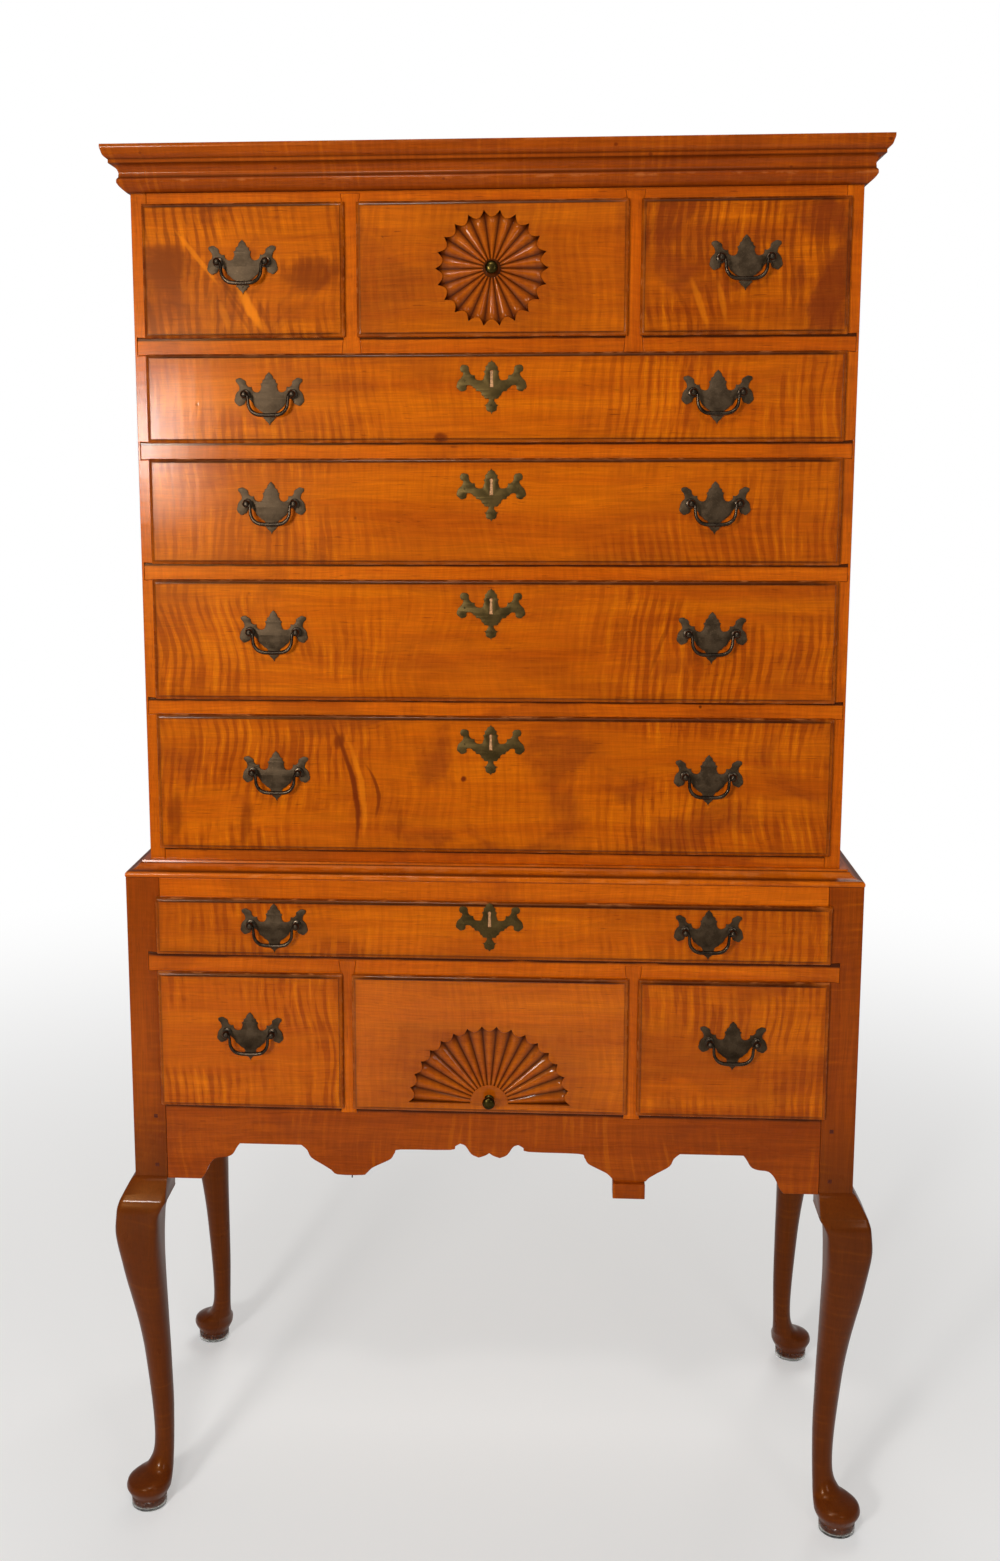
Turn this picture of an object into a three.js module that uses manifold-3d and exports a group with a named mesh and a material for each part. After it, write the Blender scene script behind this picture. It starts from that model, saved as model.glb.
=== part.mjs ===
// Highboy: a chest of seven drawers that stands on a base of four drawers and four cabriole legs.
// Sizes are in millimetres. The floor is z = 0, the front face of the base is y = 0 while the parts
// are made, and the finished group is then centred over its footprint.
import * as THREE from "three";
import { mergeVertices } from "three/addons/utils/BufferGeometryUtils.js";
import Module from "manifold-3d";

const wasm = await Module();
wasm.setup();

// Fits
const FIT = 0.25;
const OVERRUN = 5;
const CENTRE_GRID = 0.5;
const MERGE_STEP = 1e-3;

// Base
const BASE_DEPTH = 460;
const BASE_TOP = 912;
const POST = 45;
const LEG_HEIGHT = 493;
const KNEE_THROW = 18.5;
const PAD_HEIGHT = 50;
const GLIDE_HEIGHT = 14;
const GLIDE_RADIUS = 24.5;

// Chest
const CHEST_WIDTH = 914;
const CHEST_SETBACK = 28;
const SIDE_BOARD = 20;
const BACK_BOARD = 12;
const TOP_BOARD = 18;
const CORNICE_HEIGHT = 55.5;
const CORNICE_THROW = 30;
const CORNICE_OVER_CASE = 6;
const WAIST_HEIGHT = 19.5;
const NOSE_OVERHANG = 0.5;

// Rails, seen between the lips of the drawers
const RAIL_SEEN = 19.5;
const CHEST_BOTTOM_RAIL_SEEN = 35;
const CHEST_TOP_RAIL_SEEN = 13;
const CHEST_DIVIDER_SEEN = 15;
const BASE_TOP_RAIL_SEEN = 25;
const BASE_MID_RAIL_SEEN = 24;
const BASE_DIVIDER_SEEN = 12.5;
const RAIL_DEPTH = 45;
const FRAME_DEPTH = 22;
const RUNNER_WIDTH = 22;
const RUNNER_HEIGHT = 18;
const GUIDE_HEIGHT = 10;
const DOVETAIL_LENGTH = 16.5;
const DOVETAIL_DEPTH = 20;
const DOVETAIL_FLARE = 1.5;
const LAP_LENGTH = 17;
const LAP_DEPTH = 12;

// Drawers
const WIDE_LIP_HEIGHTS = [182, 158, 135.5, 112];
const TOP_LIP_HEIGHT = 166;
const TOP_CENTRE_LIP_WIDTH = 341;
const CHEST_LIP_INSET = 14.5;
const SHALLOW_LIP_HEIGHT = 78;
const DEEP_LIP_HEIGHT = 188;
const DEEP_CENTRE_LIP_WIDTH = 366;
const BASE_LIP_INSET = 40.5;
const LIP_OVER_RAIL = 3;
const LIP_OVER_SIDE = 5;
const LIP_PROUD = 8.5;
const THUMB_WIDTH = 5;
const FRONT_BEHIND_LIP = 12;
const DRAWER_WALL = 11;
const DRAWER_FLOOR = 8;
const DRAWER_SIDE_CLEAR = 1.5;
const DRAWER_TOP_CLEAR = 4;
const DRAWER_BACK_SPACE = 25;

// Apron and side skirts
const APRON_THICK = 20;
const APRON_LOW = 490;
const APRON_RISE = 52;
const PENDANT_WIDTH = 43;
const PENDANT_HEIGHT = 21;
const PENDANT_PROUD = 7;
const PENDANT_PLACE = 187.5;
const SIDE_PANEL_INSET = 3;
const BACK_PANEL_LOW = 545;

// Carving
const WHEEL_LOBES = 22;
const WHEEL_RADIUS = 71.5;
const WHEEL_HUB_RADIUS = 14.5;
const FAN_LOBES = 17;
const FAN_RADIUS = 107;
const FAN_HUB_RADIUS = 25.5;
const FAN_ABOVE_LIP = 14;
const CARVING_DEPTH = 4.5;
const SCALLOP_DEPTH = 8.5;

// Brass
const PLATE_WIDTH = 88.5;
const PLATE_THICK = 1.5;
const PULL_SPACING = 61;
const PIVOT_OUT = 13;
const BALL_RADIUS = 5.5;
const STEM_RADIUS = 2.75;
const BAIL_RADIUS = 2.25;
const BORE_RADIUS = 3;
const BAIL_DROP = 25;
const BAIL_HALF_WIDTH = 23;
const BAIL_END_REACH = 3;
const KNOB_RADIUS = 8.5;
const KNOB_LENGTH = 19;
const PULL_FROM_LIP_END = 159.5;
const TOP_PULL_RISE = 9.5;
const DEEP_PULL_RISE = 13;
const SHALLOW_PULL_RISE = 6;
const WIDE_PULL_RISES = [15.5, 11.5, 10.5, 5];
const FAN_KNOB_RISE = 6;

// Levels and planes that follow from the sizes above
const BASE_WIDTH = CHEST_WIDTH + 2 * CHEST_SETBACK;
const CHEST_FRONT = CHEST_SETBACK;
const BACK = BASE_DEPTH;
const CHEST_FOOT = BASE_TOP + FIT;
const CHEST_INNER = CHEST_WIDTH / 2 - SIDE_BOARD;
const POST_INNER = BASE_WIDTH / 2 - POST;
const POST_CENTRE = BASE_WIDTH / 2 - POST / 2;
const CHEST_BACK_FACE = BACK - BACK_BOARD;
const BASE_BACK_FACE = BACK - SIDE_BOARD;
const CHEST_DRAWER_DEPTH = CHEST_BACK_FACE - CHEST_FRONT - DRAWER_BACK_SPACE;
const BASE_DRAWER_DEPTH = BASE_BACK_FACE - DRAWER_BACK_SPACE;

const wideRows = WIDE_LIP_HEIGHTS.map((height, row) => {
  const below = WIDE_LIP_HEIGHTS.slice(0, row).reduce((sum, each) => sum + each + RAIL_SEEN, 0);
  const low = BASE_TOP + CHEST_BOTTOM_RAIL_SEEN + below;
  return { low, high: low + height };
});
const topRowLow = wideRows[wideRows.length - 1].high + RAIL_SEEN;
const topRow = { low: topRowLow, high: topRowLow + TOP_LIP_HEIGHT };
const CORNICE_LOW = topRow.high + CHEST_TOP_RAIL_SEEN;
const CHEST_TOP = CORNICE_LOW + CORNICE_HEIGHT - CORNICE_OVER_CASE;
const shallowRow = {
  low: BASE_TOP - BASE_TOP_RAIL_SEEN - SHALLOW_LIP_HEIGHT,
  high: BASE_TOP - BASE_TOP_RAIL_SEEN,
};
const deepRow = {
  low: shallowRow.low - BASE_MID_RAIL_SEEN - DEEP_LIP_HEIGHT,
  high: shallowRow.low - BASE_MID_RAIL_SEEN,
};

// Materials
function material(color, roughness, metalness) {
  return new THREE.MeshStandardMaterial({ color, roughness, metalness });
}

const figuredMaple = () => material(0xb5712f, 0.35, 0);
const plainMaple = () => material(0xa8642c, 0.4, 0);
const darkMaple = () => material(0x7c3f1c, 0.4, 0);
const insideWood = () => material(0xb08d5f, 0.8, 0);
const agedBrass = () => material(0x5c4f33, 0.45, 0.85);

// Solids from points and faces
function solidFrom(points, faces) {
  const edge = new THREE.Vector3();
  const volume = faces.reduce((sum, [a, b, c]) => {
    edge.crossVectors(points[b], points[c]);
    return sum + points[a].dot(edge);
  }, 0);
  const ordered = volume < 0 ? faces.map(([a, b, c]) => [a, c, b]) : faces;
  const geometry = new THREE.BufferGeometry().setFromPoints(points);
  geometry.setIndex(ordered.flat());
  return solidFromGeometry(geometry);
}

function solidFromGeometry(source) {
  const geometry = source.clone();
  geometry.deleteAttribute("normal");
  geometry.deleteAttribute("uv");
  const merged = mergeVertices(geometry, MERGE_STEP);
  return new wasm.Manifold(
    new wasm.Mesh({
      numProp: 3,
      vertProperties: merged.attributes.position.array,
      triVerts: new Uint32Array(merged.index.array),
    }),
  );
}

function geometryFromSolid(solid) {
  const mesh = solid.getMesh();
  const geometry = new THREE.BufferGeometry();
  geometry.setAttribute("position", new THREE.BufferAttribute(mesh.vertProperties, mesh.numProp));
  geometry.setIndex(new THREE.BufferAttribute(mesh.triVerts, 1));
  geometry.computeVertexNormals();
  return geometry;
}

function joined(solids) {
  return solids.reduce((sum, each) => sum.add(each));
}

function block([x0, x1], [y0, y1], [z0, z1]) {
  const geometry = new THREE.BoxGeometry(x1 - x0, y1 - y0, z1 - z0);
  geometry.translate((x0 + x1) / 2, (y0 + y1) / 2, (z0 + z1) / 2);
  return solidFromGeometry(geometry);
}

// A pair of equal blocks on the left and the right.
function blockPair([x0, x1], ys, zs) {
  return [block([x0, x1], ys, zs), block([-x1, -x0], ys, zs)];
}

// An outline in x and z, as thick as front to back.
function boardFrom(outline, front, back) {
  const shape = new THREE.Shape(outline.map(([x, z]) => new THREE.Vector2(x, z)));
  const geometry = new THREE.ExtrudeGeometry(shape, { depth: back - front, bevelEnabled: false });
  geometry.rotateX(Math.PI / 2);
  geometry.translate(0, back, 0);
  return solidFromGeometry(geometry);
}

// Rings of equally many points, joined in order, with flat ends.
function loft(rings, capFaces) {
  const count = rings[0].length;
  const faces = [];
  for (let ring = 0; ring < rings.length - 1; ring++) {
    for (let k = 0; k < count; k++) {
      const next = (k + 1) % count;
      const low = ring * count;
      const high = low + count;
      faces.push([low + k, low + next, high + next], [low + k, high + next, high + k]);
    }
  }
  const last = (rings.length - 1) * count;
  capFaces.forEach(([a, b, c]) => {
    faces.push([a, c, b]);
    faces.push([last + a, last + b, last + c]);
  });
  return solidFrom(rings.flat(), faces);
}

function fanFaces(count) {
  return Array.from({ length: count - 2 }, (_, k) => [0, k + 1, k + 2]);
}

// A moulding that runs along one side, across the front and back along the other side.
// Its section is given as distance out from the faces that it covers, and height.
function mitredMoulding(section, halfWidth, front, back) {
  const stations = [
    ([out, z]) => new THREE.Vector3(-halfWidth - out, back, z),
    ([out, z]) => new THREE.Vector3(-halfWidth - out, front - out, z),
    ([out, z]) => new THREE.Vector3(halfWidth + out, front - out, z),
    ([out, z]) => new THREE.Vector3(halfWidth + out, back, z),
  ];
  const rings = stations.map((station) => section.map(station));
  const flat = section.map(([out, z]) => new THREE.Vector2(out, z));
  return loft(rings, THREE.ShapeUtils.triangulateShape(flat, []));
}

// Mouldings
const CORNICE_SHARES = [
  [0, 0],
  [0.08, 0],
  [0.2, 0.05],
  [0.36, 0.13],
  [0.46, 0.21],
  [0.45, 0.28],
  [0.38, 0.33],
  [0.38, 0.36],
  [0.37, 0.42],
  [0.42, 0.49],
  [0.52, 0.55],
  [0.64, 0.59],
  [0.72, 0.61],
  [0.72, 0.69],
  [0.78, 0.71],
  [0.9, 0.77],
  [0.96, 0.86],
  [1, 0.93],
  [1, 1],
  [0, 1],
];

function cornice() {
  const section = CORNICE_SHARES.map(([out, up]) => [
    FIT + out * (CORNICE_THROW - FIT),
    CORNICE_LOW + up * CORNICE_HEIGHT,
  ]);
  return mitredMoulding(section, CHEST_WIDTH / 2, CHEST_FRONT, BACK);
}

const WAIST_SHARES = [
  [0, 0],
  [0.97, 0],
  [1, 0.1],
  [1, 0.24],
  [0.95, 0.36],
  [0.86, 0.41],
  [0.78, 0.43],
  [0.62, 0.51],
  [0.48, 0.65],
  [0.38, 0.85],
  [0.32, 0.87],
  [0.3, 1],
  [0, 1],
];

function waistMoulding() {
  const reach = CHEST_SETBACK + NOSE_OVERHANG;
  const section = WAIST_SHARES.map(([out, up]) => [
    FIT + out * (reach - FIT),
    BASE_TOP + FIT + up * (WAIST_HEIGHT - FIT),
  ]);
  return mitredMoulding(section, CHEST_WIDTH / 2, CHEST_FRONT, BACK);
}

// Openings behind the lips of a row of drawers
function openingOf(row) {
  return { low: row.low + LIP_OVER_RAIL, high: row.high - LIP_OVER_RAIL };
}

// Chest carcass
function dovetail(side, low, high, clearance) {
  const start = CHEST_INNER - OVERRUN;
  const end = CHEST_INNER + DOVETAIL_LENGTH + clearance;
  const spread = DOVETAIL_FLARE + clearance;
  const outline = [
    [side * start, low - clearance],
    [side * end, low - spread],
    [side * end, high + spread],
    [side * start, high + clearance],
  ];
  const ordered = side > 0 ? outline : outline.reverse();
  const overrun = clearance > 0 ? OVERRUN : 0;
  return boardFrom(ordered, CHEST_FRONT - overrun, CHEST_FRONT + DOVETAIL_DEPTH + clearance);
}

// The heights of the blades between the rows of the chest, from the lowest to the highest.
function bladeLevels() {
  const rows = [...wideRows, topRow];
  return rows.slice(1).map((row, k) => ({
    low: openingOf(rows[k]).high,
    high: openingOf(row).low,
  }));
}

function dovetailLevels(level) {
  const inset = LIP_OVER_RAIL;
  return [level.low + inset, level.high - inset];
}

function chestSide(side) {
  const inner = CHEST_INNER;
  const outer = CHEST_WIDTH / 2;
  const xs = side > 0 ? [inner, outer] : [-outer, -inner];
  const board = block(xs, [CHEST_FRONT, BACK], [CHEST_FOOT, CHEST_TOP]);
  return bladeLevels().reduce((rest, level) => {
    const [low, high] = dovetailLevels(level);
    return rest.subtract(dovetail(side, low, high, FIT));
  }, board);
}

function chestBack() {
  const half = CHEST_INNER - FIT;
  const ys = [CHEST_BACK_FACE + FIT, BACK];
  return block([-half, half], ys, [CHEST_FOOT, CHEST_TOP]);
}

// A blade with its two side runners.
function blade(level) {
  const half = CHEST_INNER - FIT;
  const [low, high] = dovetailLevels(level);
  return joined([
    block([-half, half], [CHEST_FRONT, CHEST_FRONT + RAIL_DEPTH], [level.low, level.high]),
    dovetail(1, low, high, 0),
    dovetail(-1, low, high, 0),
    ...blockPair([half - RUNNER_WIDTH, half], [CHEST_FRONT, CHEST_BACK_FACE], [
      level.high - RUNNER_HEIGHT,
      level.high,
    ]),
  ]);
}

// Runner and guide behind a divider, for the two drawers beside it.
function dividerRunners(dividerXs, ys, top) {
  const [x0, x1] = dividerXs;
  const wide = [x0 - RUNNER_WIDTH, x1 + RUNNER_WIDTH];
  const narrow = [x0 + DRAWER_SIDE_CLEAR, x1 - DRAWER_SIDE_CLEAR];
  return [
    ...blockPair(wide, ys, [top - RUNNER_HEIGHT, top]),
    ...blockPair(narrow, ys, [top - RUNNER_HEIGHT, top + GUIDE_HEIGHT]),
  ];
}

function chestDividerXs() {
  const inner = TOP_CENTRE_LIP_WIDTH / 2 - LIP_OVER_SIDE;
  const outer = TOP_CENTRE_LIP_WIDTH / 2 + CHEST_DIVIDER_SEEN + LIP_OVER_SIDE;
  return [inner, outer];
}

// Top board, top rail, the two dividers and the blade under them.
function chestTopFrame() {
  const half = CHEST_INNER - FIT;
  const opening = openingOf(topRow);
  const levels = bladeLevels();
  const level = levels[levels.length - 1];
  const front = [CHEST_FRONT, CHEST_FRONT + FRAME_DEPTH];
  const under = [CHEST_FRONT, CHEST_BACK_FACE];
  return joined([
    blade(level),
    block([-half, half], front, [opening.high, CHEST_TOP]),
    block([-half, half], [CHEST_FRONT, CHEST_BACK_FACE], [CHEST_TOP - TOP_BOARD, CHEST_TOP]),
    ...blockPair(chestDividerXs(), front, [opening.low - OVERRUN, opening.high + OVERRUN]),
    ...dividerRunners(chestDividerXs(), under, opening.low),
  ]);
}

function chestBottomFrame() {
  const half = CHEST_INNER - FIT;
  const top = openingOf(wideRows[0]).low;
  return joined([
    block([-half, half], [CHEST_FRONT, CHEST_FRONT + RAIL_DEPTH], [CHEST_FOOT, top]),
    block([-half, half], [CHEST_FRONT, CHEST_BACK_FACE], [CHEST_FOOT, CHEST_FOOT + TOP_BOARD]),
    ...blockPair([half - RUNNER_WIDTH, half], [CHEST_FRONT, CHEST_BACK_FACE], [CHEST_FOOT, top]),
  ]);
}

// Legs
// Each section is a height share, a share of the knee's throw, a share of half the post and
// how round it is, from 0 for square to 1 for a circle.
const LEG_SECTION_SHARES = [
  [0.978, 0.24, 1.2, 0.1],
  [0.943, 0.5, 1.39, 0.25],
  [0.917, 0.69, 1.433, 0.35],
  [0.89, 0.824, 1.411, 0.45],
  [0.852, 0.96, 1.367, 0.55],
  [0.811, 0.965, 1.318, 0.62],
  [0.761, 0.892, 1.244, 0.7],
  [0.7, 0.757, 1.169, 0.78],
  [0.629, 0.565, 1.047, 0.85],
  [0.558, 0.381, 0.927, 0.92],
  [0.477, 0.208, 0.829, 1],
  [0.389, 0.076, 0.751, 1],
  [0.304, -0.027, 0.684, 1],
  [0.233, -0.065, 0.627, 1],
  [0.178, -0.046, 0.607, 1],
  [0.142, 0.027, 0.644, 1],
  [0.118, 0.17, 0.749, 1],
];
// The pad foot: shares of its height, then as above.
const PAD_SECTION_SHARES = [
  [1, 0.343, 0.896],
  [0.9, 0.608, 1.122],
  [0.78, 0.878, 1.344],
  [0.62, 0.986, 1.389],
  [0.44, 1, 1.267],
  [0.32, 1, 1.08],
];
const LEG_SIDES = 16;

function legRing(z, shift, half, roundness) {
  return Array.from({ length: LEG_SIDES }, (_, k) => {
    const angle = (k / LEG_SIDES) * 2 * Math.PI;
    const x = Math.cos(angle);
    const y = Math.sin(angle);
    const toSquare = 1 / Math.max(Math.abs(x), Math.abs(y));
    const reach = half * THREE.MathUtils.lerp(toSquare, 1, roundness);
    return new THREE.Vector3(shift + x * reach, shift + y * reach, z);
  });
}

// A leg with its post, at the origin, thrown towards +x and +y.
function legAtOrigin() {
  const half = POST / 2;
  const rings = [
    legRing(BASE_TOP, 0, half, 0),
    legRing(LEG_HEIGHT, 0, half, 0),
    ...LEG_SECTION_SHARES.map(([up, out, wide, roundness]) =>
      legRing(up * LEG_HEIGHT, out * KNEE_THROW, wide * half, roundness),
    ),
    ...PAD_SECTION_SHARES.map(([up, out, wide]) =>
      legRing(up * PAD_HEIGHT, out * KNEE_THROW, wide * half, 1),
    ),
    legRing(GLIDE_HEIGHT, KNEE_THROW, GLIDE_RADIUS, 1),
    legRing(0, KNEE_THROW, GLIDE_RADIUS, 1),
  ];
  return loft(rings, fanFaces(LEG_SIDES));
}

function midRailLap(side, clearance) {
  const inner = POST_INNER - OVERRUN;
  const outer = POST_INNER + LAP_LENGTH + clearance;
  const xs = side > 0 ? [inner, outer] : [-outer, -inner];
  const ys = [clearance > 0 ? -OVERRUN : 0, LAP_DEPTH + clearance];
  return block(xs, ys, [deepRow.high - clearance, shallowRow.low + clearance]);
}

function leg(side, atBack) {
  const y = atBack ? BACK - POST / 2 : POST / 2;
  const towards = new THREE.Vector3(side, atBack ? 1 : -1, 1);
  const geometry = geometryFromSolid(legAtOrigin());
  geometry.applyMatrix4(new THREE.Matrix4().makeScale(towards.x, towards.y, towards.z));
  if (towards.x * towards.y < 0) {
    const order = geometry.index.array;
    for (let k = 0; k < order.length; k += 3) {
      [order[k + 1], order[k + 2]] = [order[k + 2], order[k + 1]];
    }
  }
  geometry.translate(side * POST_CENTRE, y, 0);
  const whole = solidFromGeometry(geometry);
  return atBack ? whole : whole.subtract(midRailLap(side, FIT));
}

// Base carcass
// The lower edge of the apron from the middle to the post: shares of the half width between
// the posts, and of the rise.
const APRON_EDGE_SHARES = [
  [0, 0.9],
  [0.012, 0.83],
  [0.032, 0.77],
  [0.055, 0.86],
  [0.073, 1.08],
  [0.089, 1.14],
  [0.105, 1.06],
  [0.12, 0.96],
  [0.272, 0.94],
  [0.29, 0.85],
  [0.302, 0.68],
  [0.33, 0.55],
  [0.36, 0.42],
  [0.378, 0.27],
  [0.392, 0.21],
  [0.468, 0.21],
  [0.488, 0.33],
  [0.512, 0.46],
  [0.55, 0.66],
  [0.562, 0.86],
  [0.58, 1],
  [0.772, 1],
  [0.782, 0.88],
  [0.795, 0.7],
  [0.815, 0.62],
  [0.848, 0.58],
  [0.868, 0.4],
  [0.882, 0.14],
  [0.895, 0],
  [1, 0],
];

const PENDANT_TOP_SHARE = 0.21;

function apronOutline() {
  const half = POST_INNER - FIT;
  const edge = APRON_EDGE_SHARES.map(([out, up]) => [out * half, APRON_LOW + up * APRON_RISE]);
  const mirrored = edge.slice(1).map(([x, z]) => [-x, z]);
  const top = openingOf(deepRow).low;
  return [...mirrored.reverse(), ...edge, [half, top], [-half, top]];
}

function baseDividerXs() {
  const inner = DEEP_CENTRE_LIP_WIDTH / 2 - LIP_OVER_SIDE;
  const outer = DEEP_CENTRE_LIP_WIDTH / 2 + BASE_DIVIDER_SEEN + LIP_OVER_SIDE;
  return [inner, outer];
}

// Apron with the surviving pendant block, mid rail with laps, dividers and the drawer runners.
function baseFrontFrame() {
  const half = POST_INNER - FIT;
  const deep = openingOf(deepRow);
  const shallow = openingOf(shallowRow);
  const toBack = [0, BASE_BACK_FACE];
  const runnerXs = [half - RUNNER_WIDTH, half];
  const pendantXs = [PENDANT_PLACE - PENDANT_WIDTH / 2, PENDANT_PLACE + PENDANT_WIDTH / 2];
  const pendantTop = APRON_LOW + PENDANT_TOP_SHARE * APRON_RISE;
  return joined([
    boardFrom(apronOutline(), 0, APRON_THICK),
    block(pendantXs, [-PENDANT_PROUD, APRON_THICK], [pendantTop - PENDANT_HEIGHT, pendantTop]),
    block([-half, half], [0, RAIL_DEPTH], [deep.high, shallow.low]),
    midRailLap(1, 0),
    midRailLap(-1, 0),
    ...blockPair(baseDividerXs(), [0, FRAME_DEPTH], [deep.low - OVERRUN, deep.high + OVERRUN]),
    ...blockPair(runnerXs, toBack, [deep.low - RUNNER_HEIGHT, deep.low]),
    ...blockPair(runnerXs, toBack, [shallow.low - RUNNER_HEIGHT, shallow.low]),
    ...dividerRunners(baseDividerXs(), toBack, deep.low),
  ]);
}

// Front top rail with the two cleats that carry the chest.
function baseTopFrame() {
  const half = POST_INNER - FIT;
  const low = openingOf(shallowRow).high;
  const panelInner = BASE_WIDTH / 2 - SIDE_PANEL_INSET - SIDE_BOARD;
  const behindPosts = [POST + FIT, BACK - POST - FIT];
  return joined([
    block([-half, half], [0, RAIL_DEPTH], [low, BASE_TOP]),
    ...blockPair([half - RUNNER_WIDTH, half], [0, BASE_BACK_FACE], [low, BASE_TOP]),
    ...blockPair([half - RUNNER_WIDTH, panelInner - FIT], behindPosts, [low, BASE_TOP]),
  ]);
}

// The lower edge of a side panel from one post to the other: shares of its length and rise.
const SKIRT_EDGE_SHARES = [
  [0, 0],
  [0.1, 0],
  [0.14, 0.3],
  [0.2, 0.6],
  [0.26, 0.68],
  [0.3, 1],
  [0.7, 1],
  [0.74, 0.68],
  [0.8, 0.6],
  [0.86, 0.3],
  [0.9, 0],
  [1, 0],
];

function baseSide(side) {
  const front = POST + FIT;
  const length = BASE_DEPTH - 2 * front;
  const edge = SKIRT_EDGE_SHARES.map(([along, up]) => [
    front + along * length,
    APRON_LOW + up * APRON_RISE,
  ]);
  const outline = [...edge, [front + length, BASE_TOP], [front, BASE_TOP]];
  const shape = new THREE.Shape(outline.map(([y, z]) => new THREE.Vector2(y, z)));
  const geometry = new THREE.ExtrudeGeometry(shape, { depth: SIDE_BOARD, bevelEnabled: false });
  geometry.rotateX(Math.PI / 2);
  geometry.rotateZ(Math.PI / 2);
  const outer = BASE_WIDTH / 2 - SIDE_PANEL_INSET;
  geometry.translate(side > 0 ? outer - SIDE_BOARD : -outer, 0, 0);
  return solidFromGeometry(geometry);
}

function baseBack() {
  const half = POST_INNER - FIT;
  const ys = [BASE_BACK_FACE + FIT, BACK];
  return block([-half, half], ys, [BACK_PANEL_LOW, BASE_TOP]);
}

// Drawers
// The thumb-nail edge of a front: share of its width, share of how far the front stands proud.
const THUMB_SHARES = [
  [0, 0],
  [0, 0.4],
  [0.25, 0.68],
  [1, 0.84],
  [1, 1],
];

function lippedFront([x0, x1], [z0, z1], face) {
  const rings = THUMB_SHARES.map(([inward, out]) => {
    const inset = inward * THUMB_WIDTH;
    const y = face - FIT - out * LIP_PROUD;
    return [
      new THREE.Vector3(x0 + inset, y, z0 + inset),
      new THREE.Vector3(x1 - inset, y, z0 + inset),
      new THREE.Vector3(x1 - inset, y, z1 - inset),
      new THREE.Vector3(x0 + inset, y, z1 - inset),
    ];
  });
  return loft(rings, fanFaces(4));
}

// A drawer: a lipped front and an open box behind it.
function drawer(lipXs, row, face, depth) {
  const opening = openingOf(row);
  const xs = [
    lipXs[0] + LIP_OVER_SIDE + DRAWER_SIDE_CLEAR,
    lipXs[1] - LIP_OVER_SIDE - DRAWER_SIDE_CLEAR,
  ];
  const low = opening.low + FIT;
  const high = opening.high - DRAWER_TOP_CLEAR;
  const front = face - FIT - THUMB_WIDTH / 2;
  const inside = block(
    [xs[0] + DRAWER_WALL, xs[1] - DRAWER_WALL],
    [face + FRONT_BEHIND_LIP, face + depth - DRAWER_WALL],
    [low + DRAWER_FLOOR, high + OVERRUN],
  );
  const box = block(xs, [front, face + depth], [low, high]).subtract(inside);
  return box.add(lippedFront(lipXs, [row.low, row.high], face));
}

// Carved rays
// A cutter for rays round a hub: rows run from the hub to the rim, and each lobe has a crest
// in its middle and a groove at each side that ends in a point.
const RAY_ROW_SHARES = [0.25, 0.55, 0.85, 1];
const RAY_STEPS = 4;

// Depth of the crest and of the groove at the hub and at the rim, as shares of the full depth.
const CREST_SHARES = [0.35, 0.6];
const GROOVE_SHARES = [0.45, 1];

function rayDepth(outward, acrossLobe) {
  const crest = THREE.MathUtils.lerp(...CREST_SHARES, outward);
  const groove = THREE.MathUtils.lerp(...GROOVE_SHARES, outward);
  return CARVING_DEPTH * THREE.MathUtils.lerp(crest, groove, acrossLobe ** 2);
}

function rayCutter({ lobes, sweep, start, radius, hub, x, z, face, flatHub }) {
  const closed = sweep >= 2 * Math.PI;
  const columns = lobes * RAY_STEPS;
  const count = closed ? columns : columns + 1;
  const top = [];
  const floor = [];
  for (let k = 0; k < count; k++) {
    const angle = start + (sweep * k) / columns;
    const acrossLobe = Math.abs(((k % RAY_STEPS) / RAY_STEPS) * 2 - 1);
    const rim = radius - SCALLOP_DEPTH * (1 - acrossLobe ** 3);
    const rows = [hub, ...RAY_ROW_SHARES.map((share) => hub + share * (rim - hub))];
    const at = (r, y) => new THREE.Vector3(x + r * Math.cos(angle), y, z + r * Math.sin(angle));
    top.push(rows.map((r) => at(r, face - OVERRUN)));
    floor.push(
      rows.map((r, row) => {
        const outward = row === 0 ? 0 : RAY_ROW_SHARES[row - 1];
        return at(r, face + rayDepth(outward, acrossLobe));
      }),
    );
  }
  const rings = top.map((line, k) => [...line, ...[...floor[k]].reverse()]);
  const size = rings[0].length;
  const flat = fanOfSection(size);
  const body = closed ? loopOf(rings) : loft(rings, flat);
  return flatHub ? body : body.add(hubCutter(hub, x, z, face, columns));
}

// Faces that close the end of a half fan: quads between its upper and lower line.
function fanOfSection(size) {
  const faces = [];
  for (let k = 0; k < size / 2 - 1; k++) {
    const far = size - 1 - k;
    faces.push([k, k + 1, far - 1], [k, far - 1, far]);
  }
  return faces;
}

// Rings joined round a full circle.
function loopOf(rings) {
  const count = rings[0].length;
  const faces = [];
  rings.forEach((_, ring) => {
    const here = ring * count;
    const there = ((ring + 1) % rings.length) * count;
    for (let k = 0; k < count; k++) {
      const next = (k + 1) % count;
      faces.push([here + k, here + next, there + next], [here + k, there + next, there + k]);
    }
  });
  return solidFrom(rings.flat(), faces);
}

function hubCutter(radius, x, z, face, sides) {
  const depth = rayDepth(0, 0);
  const geometry = new THREE.CylinderGeometry(radius, radius, depth + OVERRUN, sides);
  geometry.translate(x, face + (depth - OVERRUN) / 2, z);
  return solidFromGeometry(geometry);
}

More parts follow.
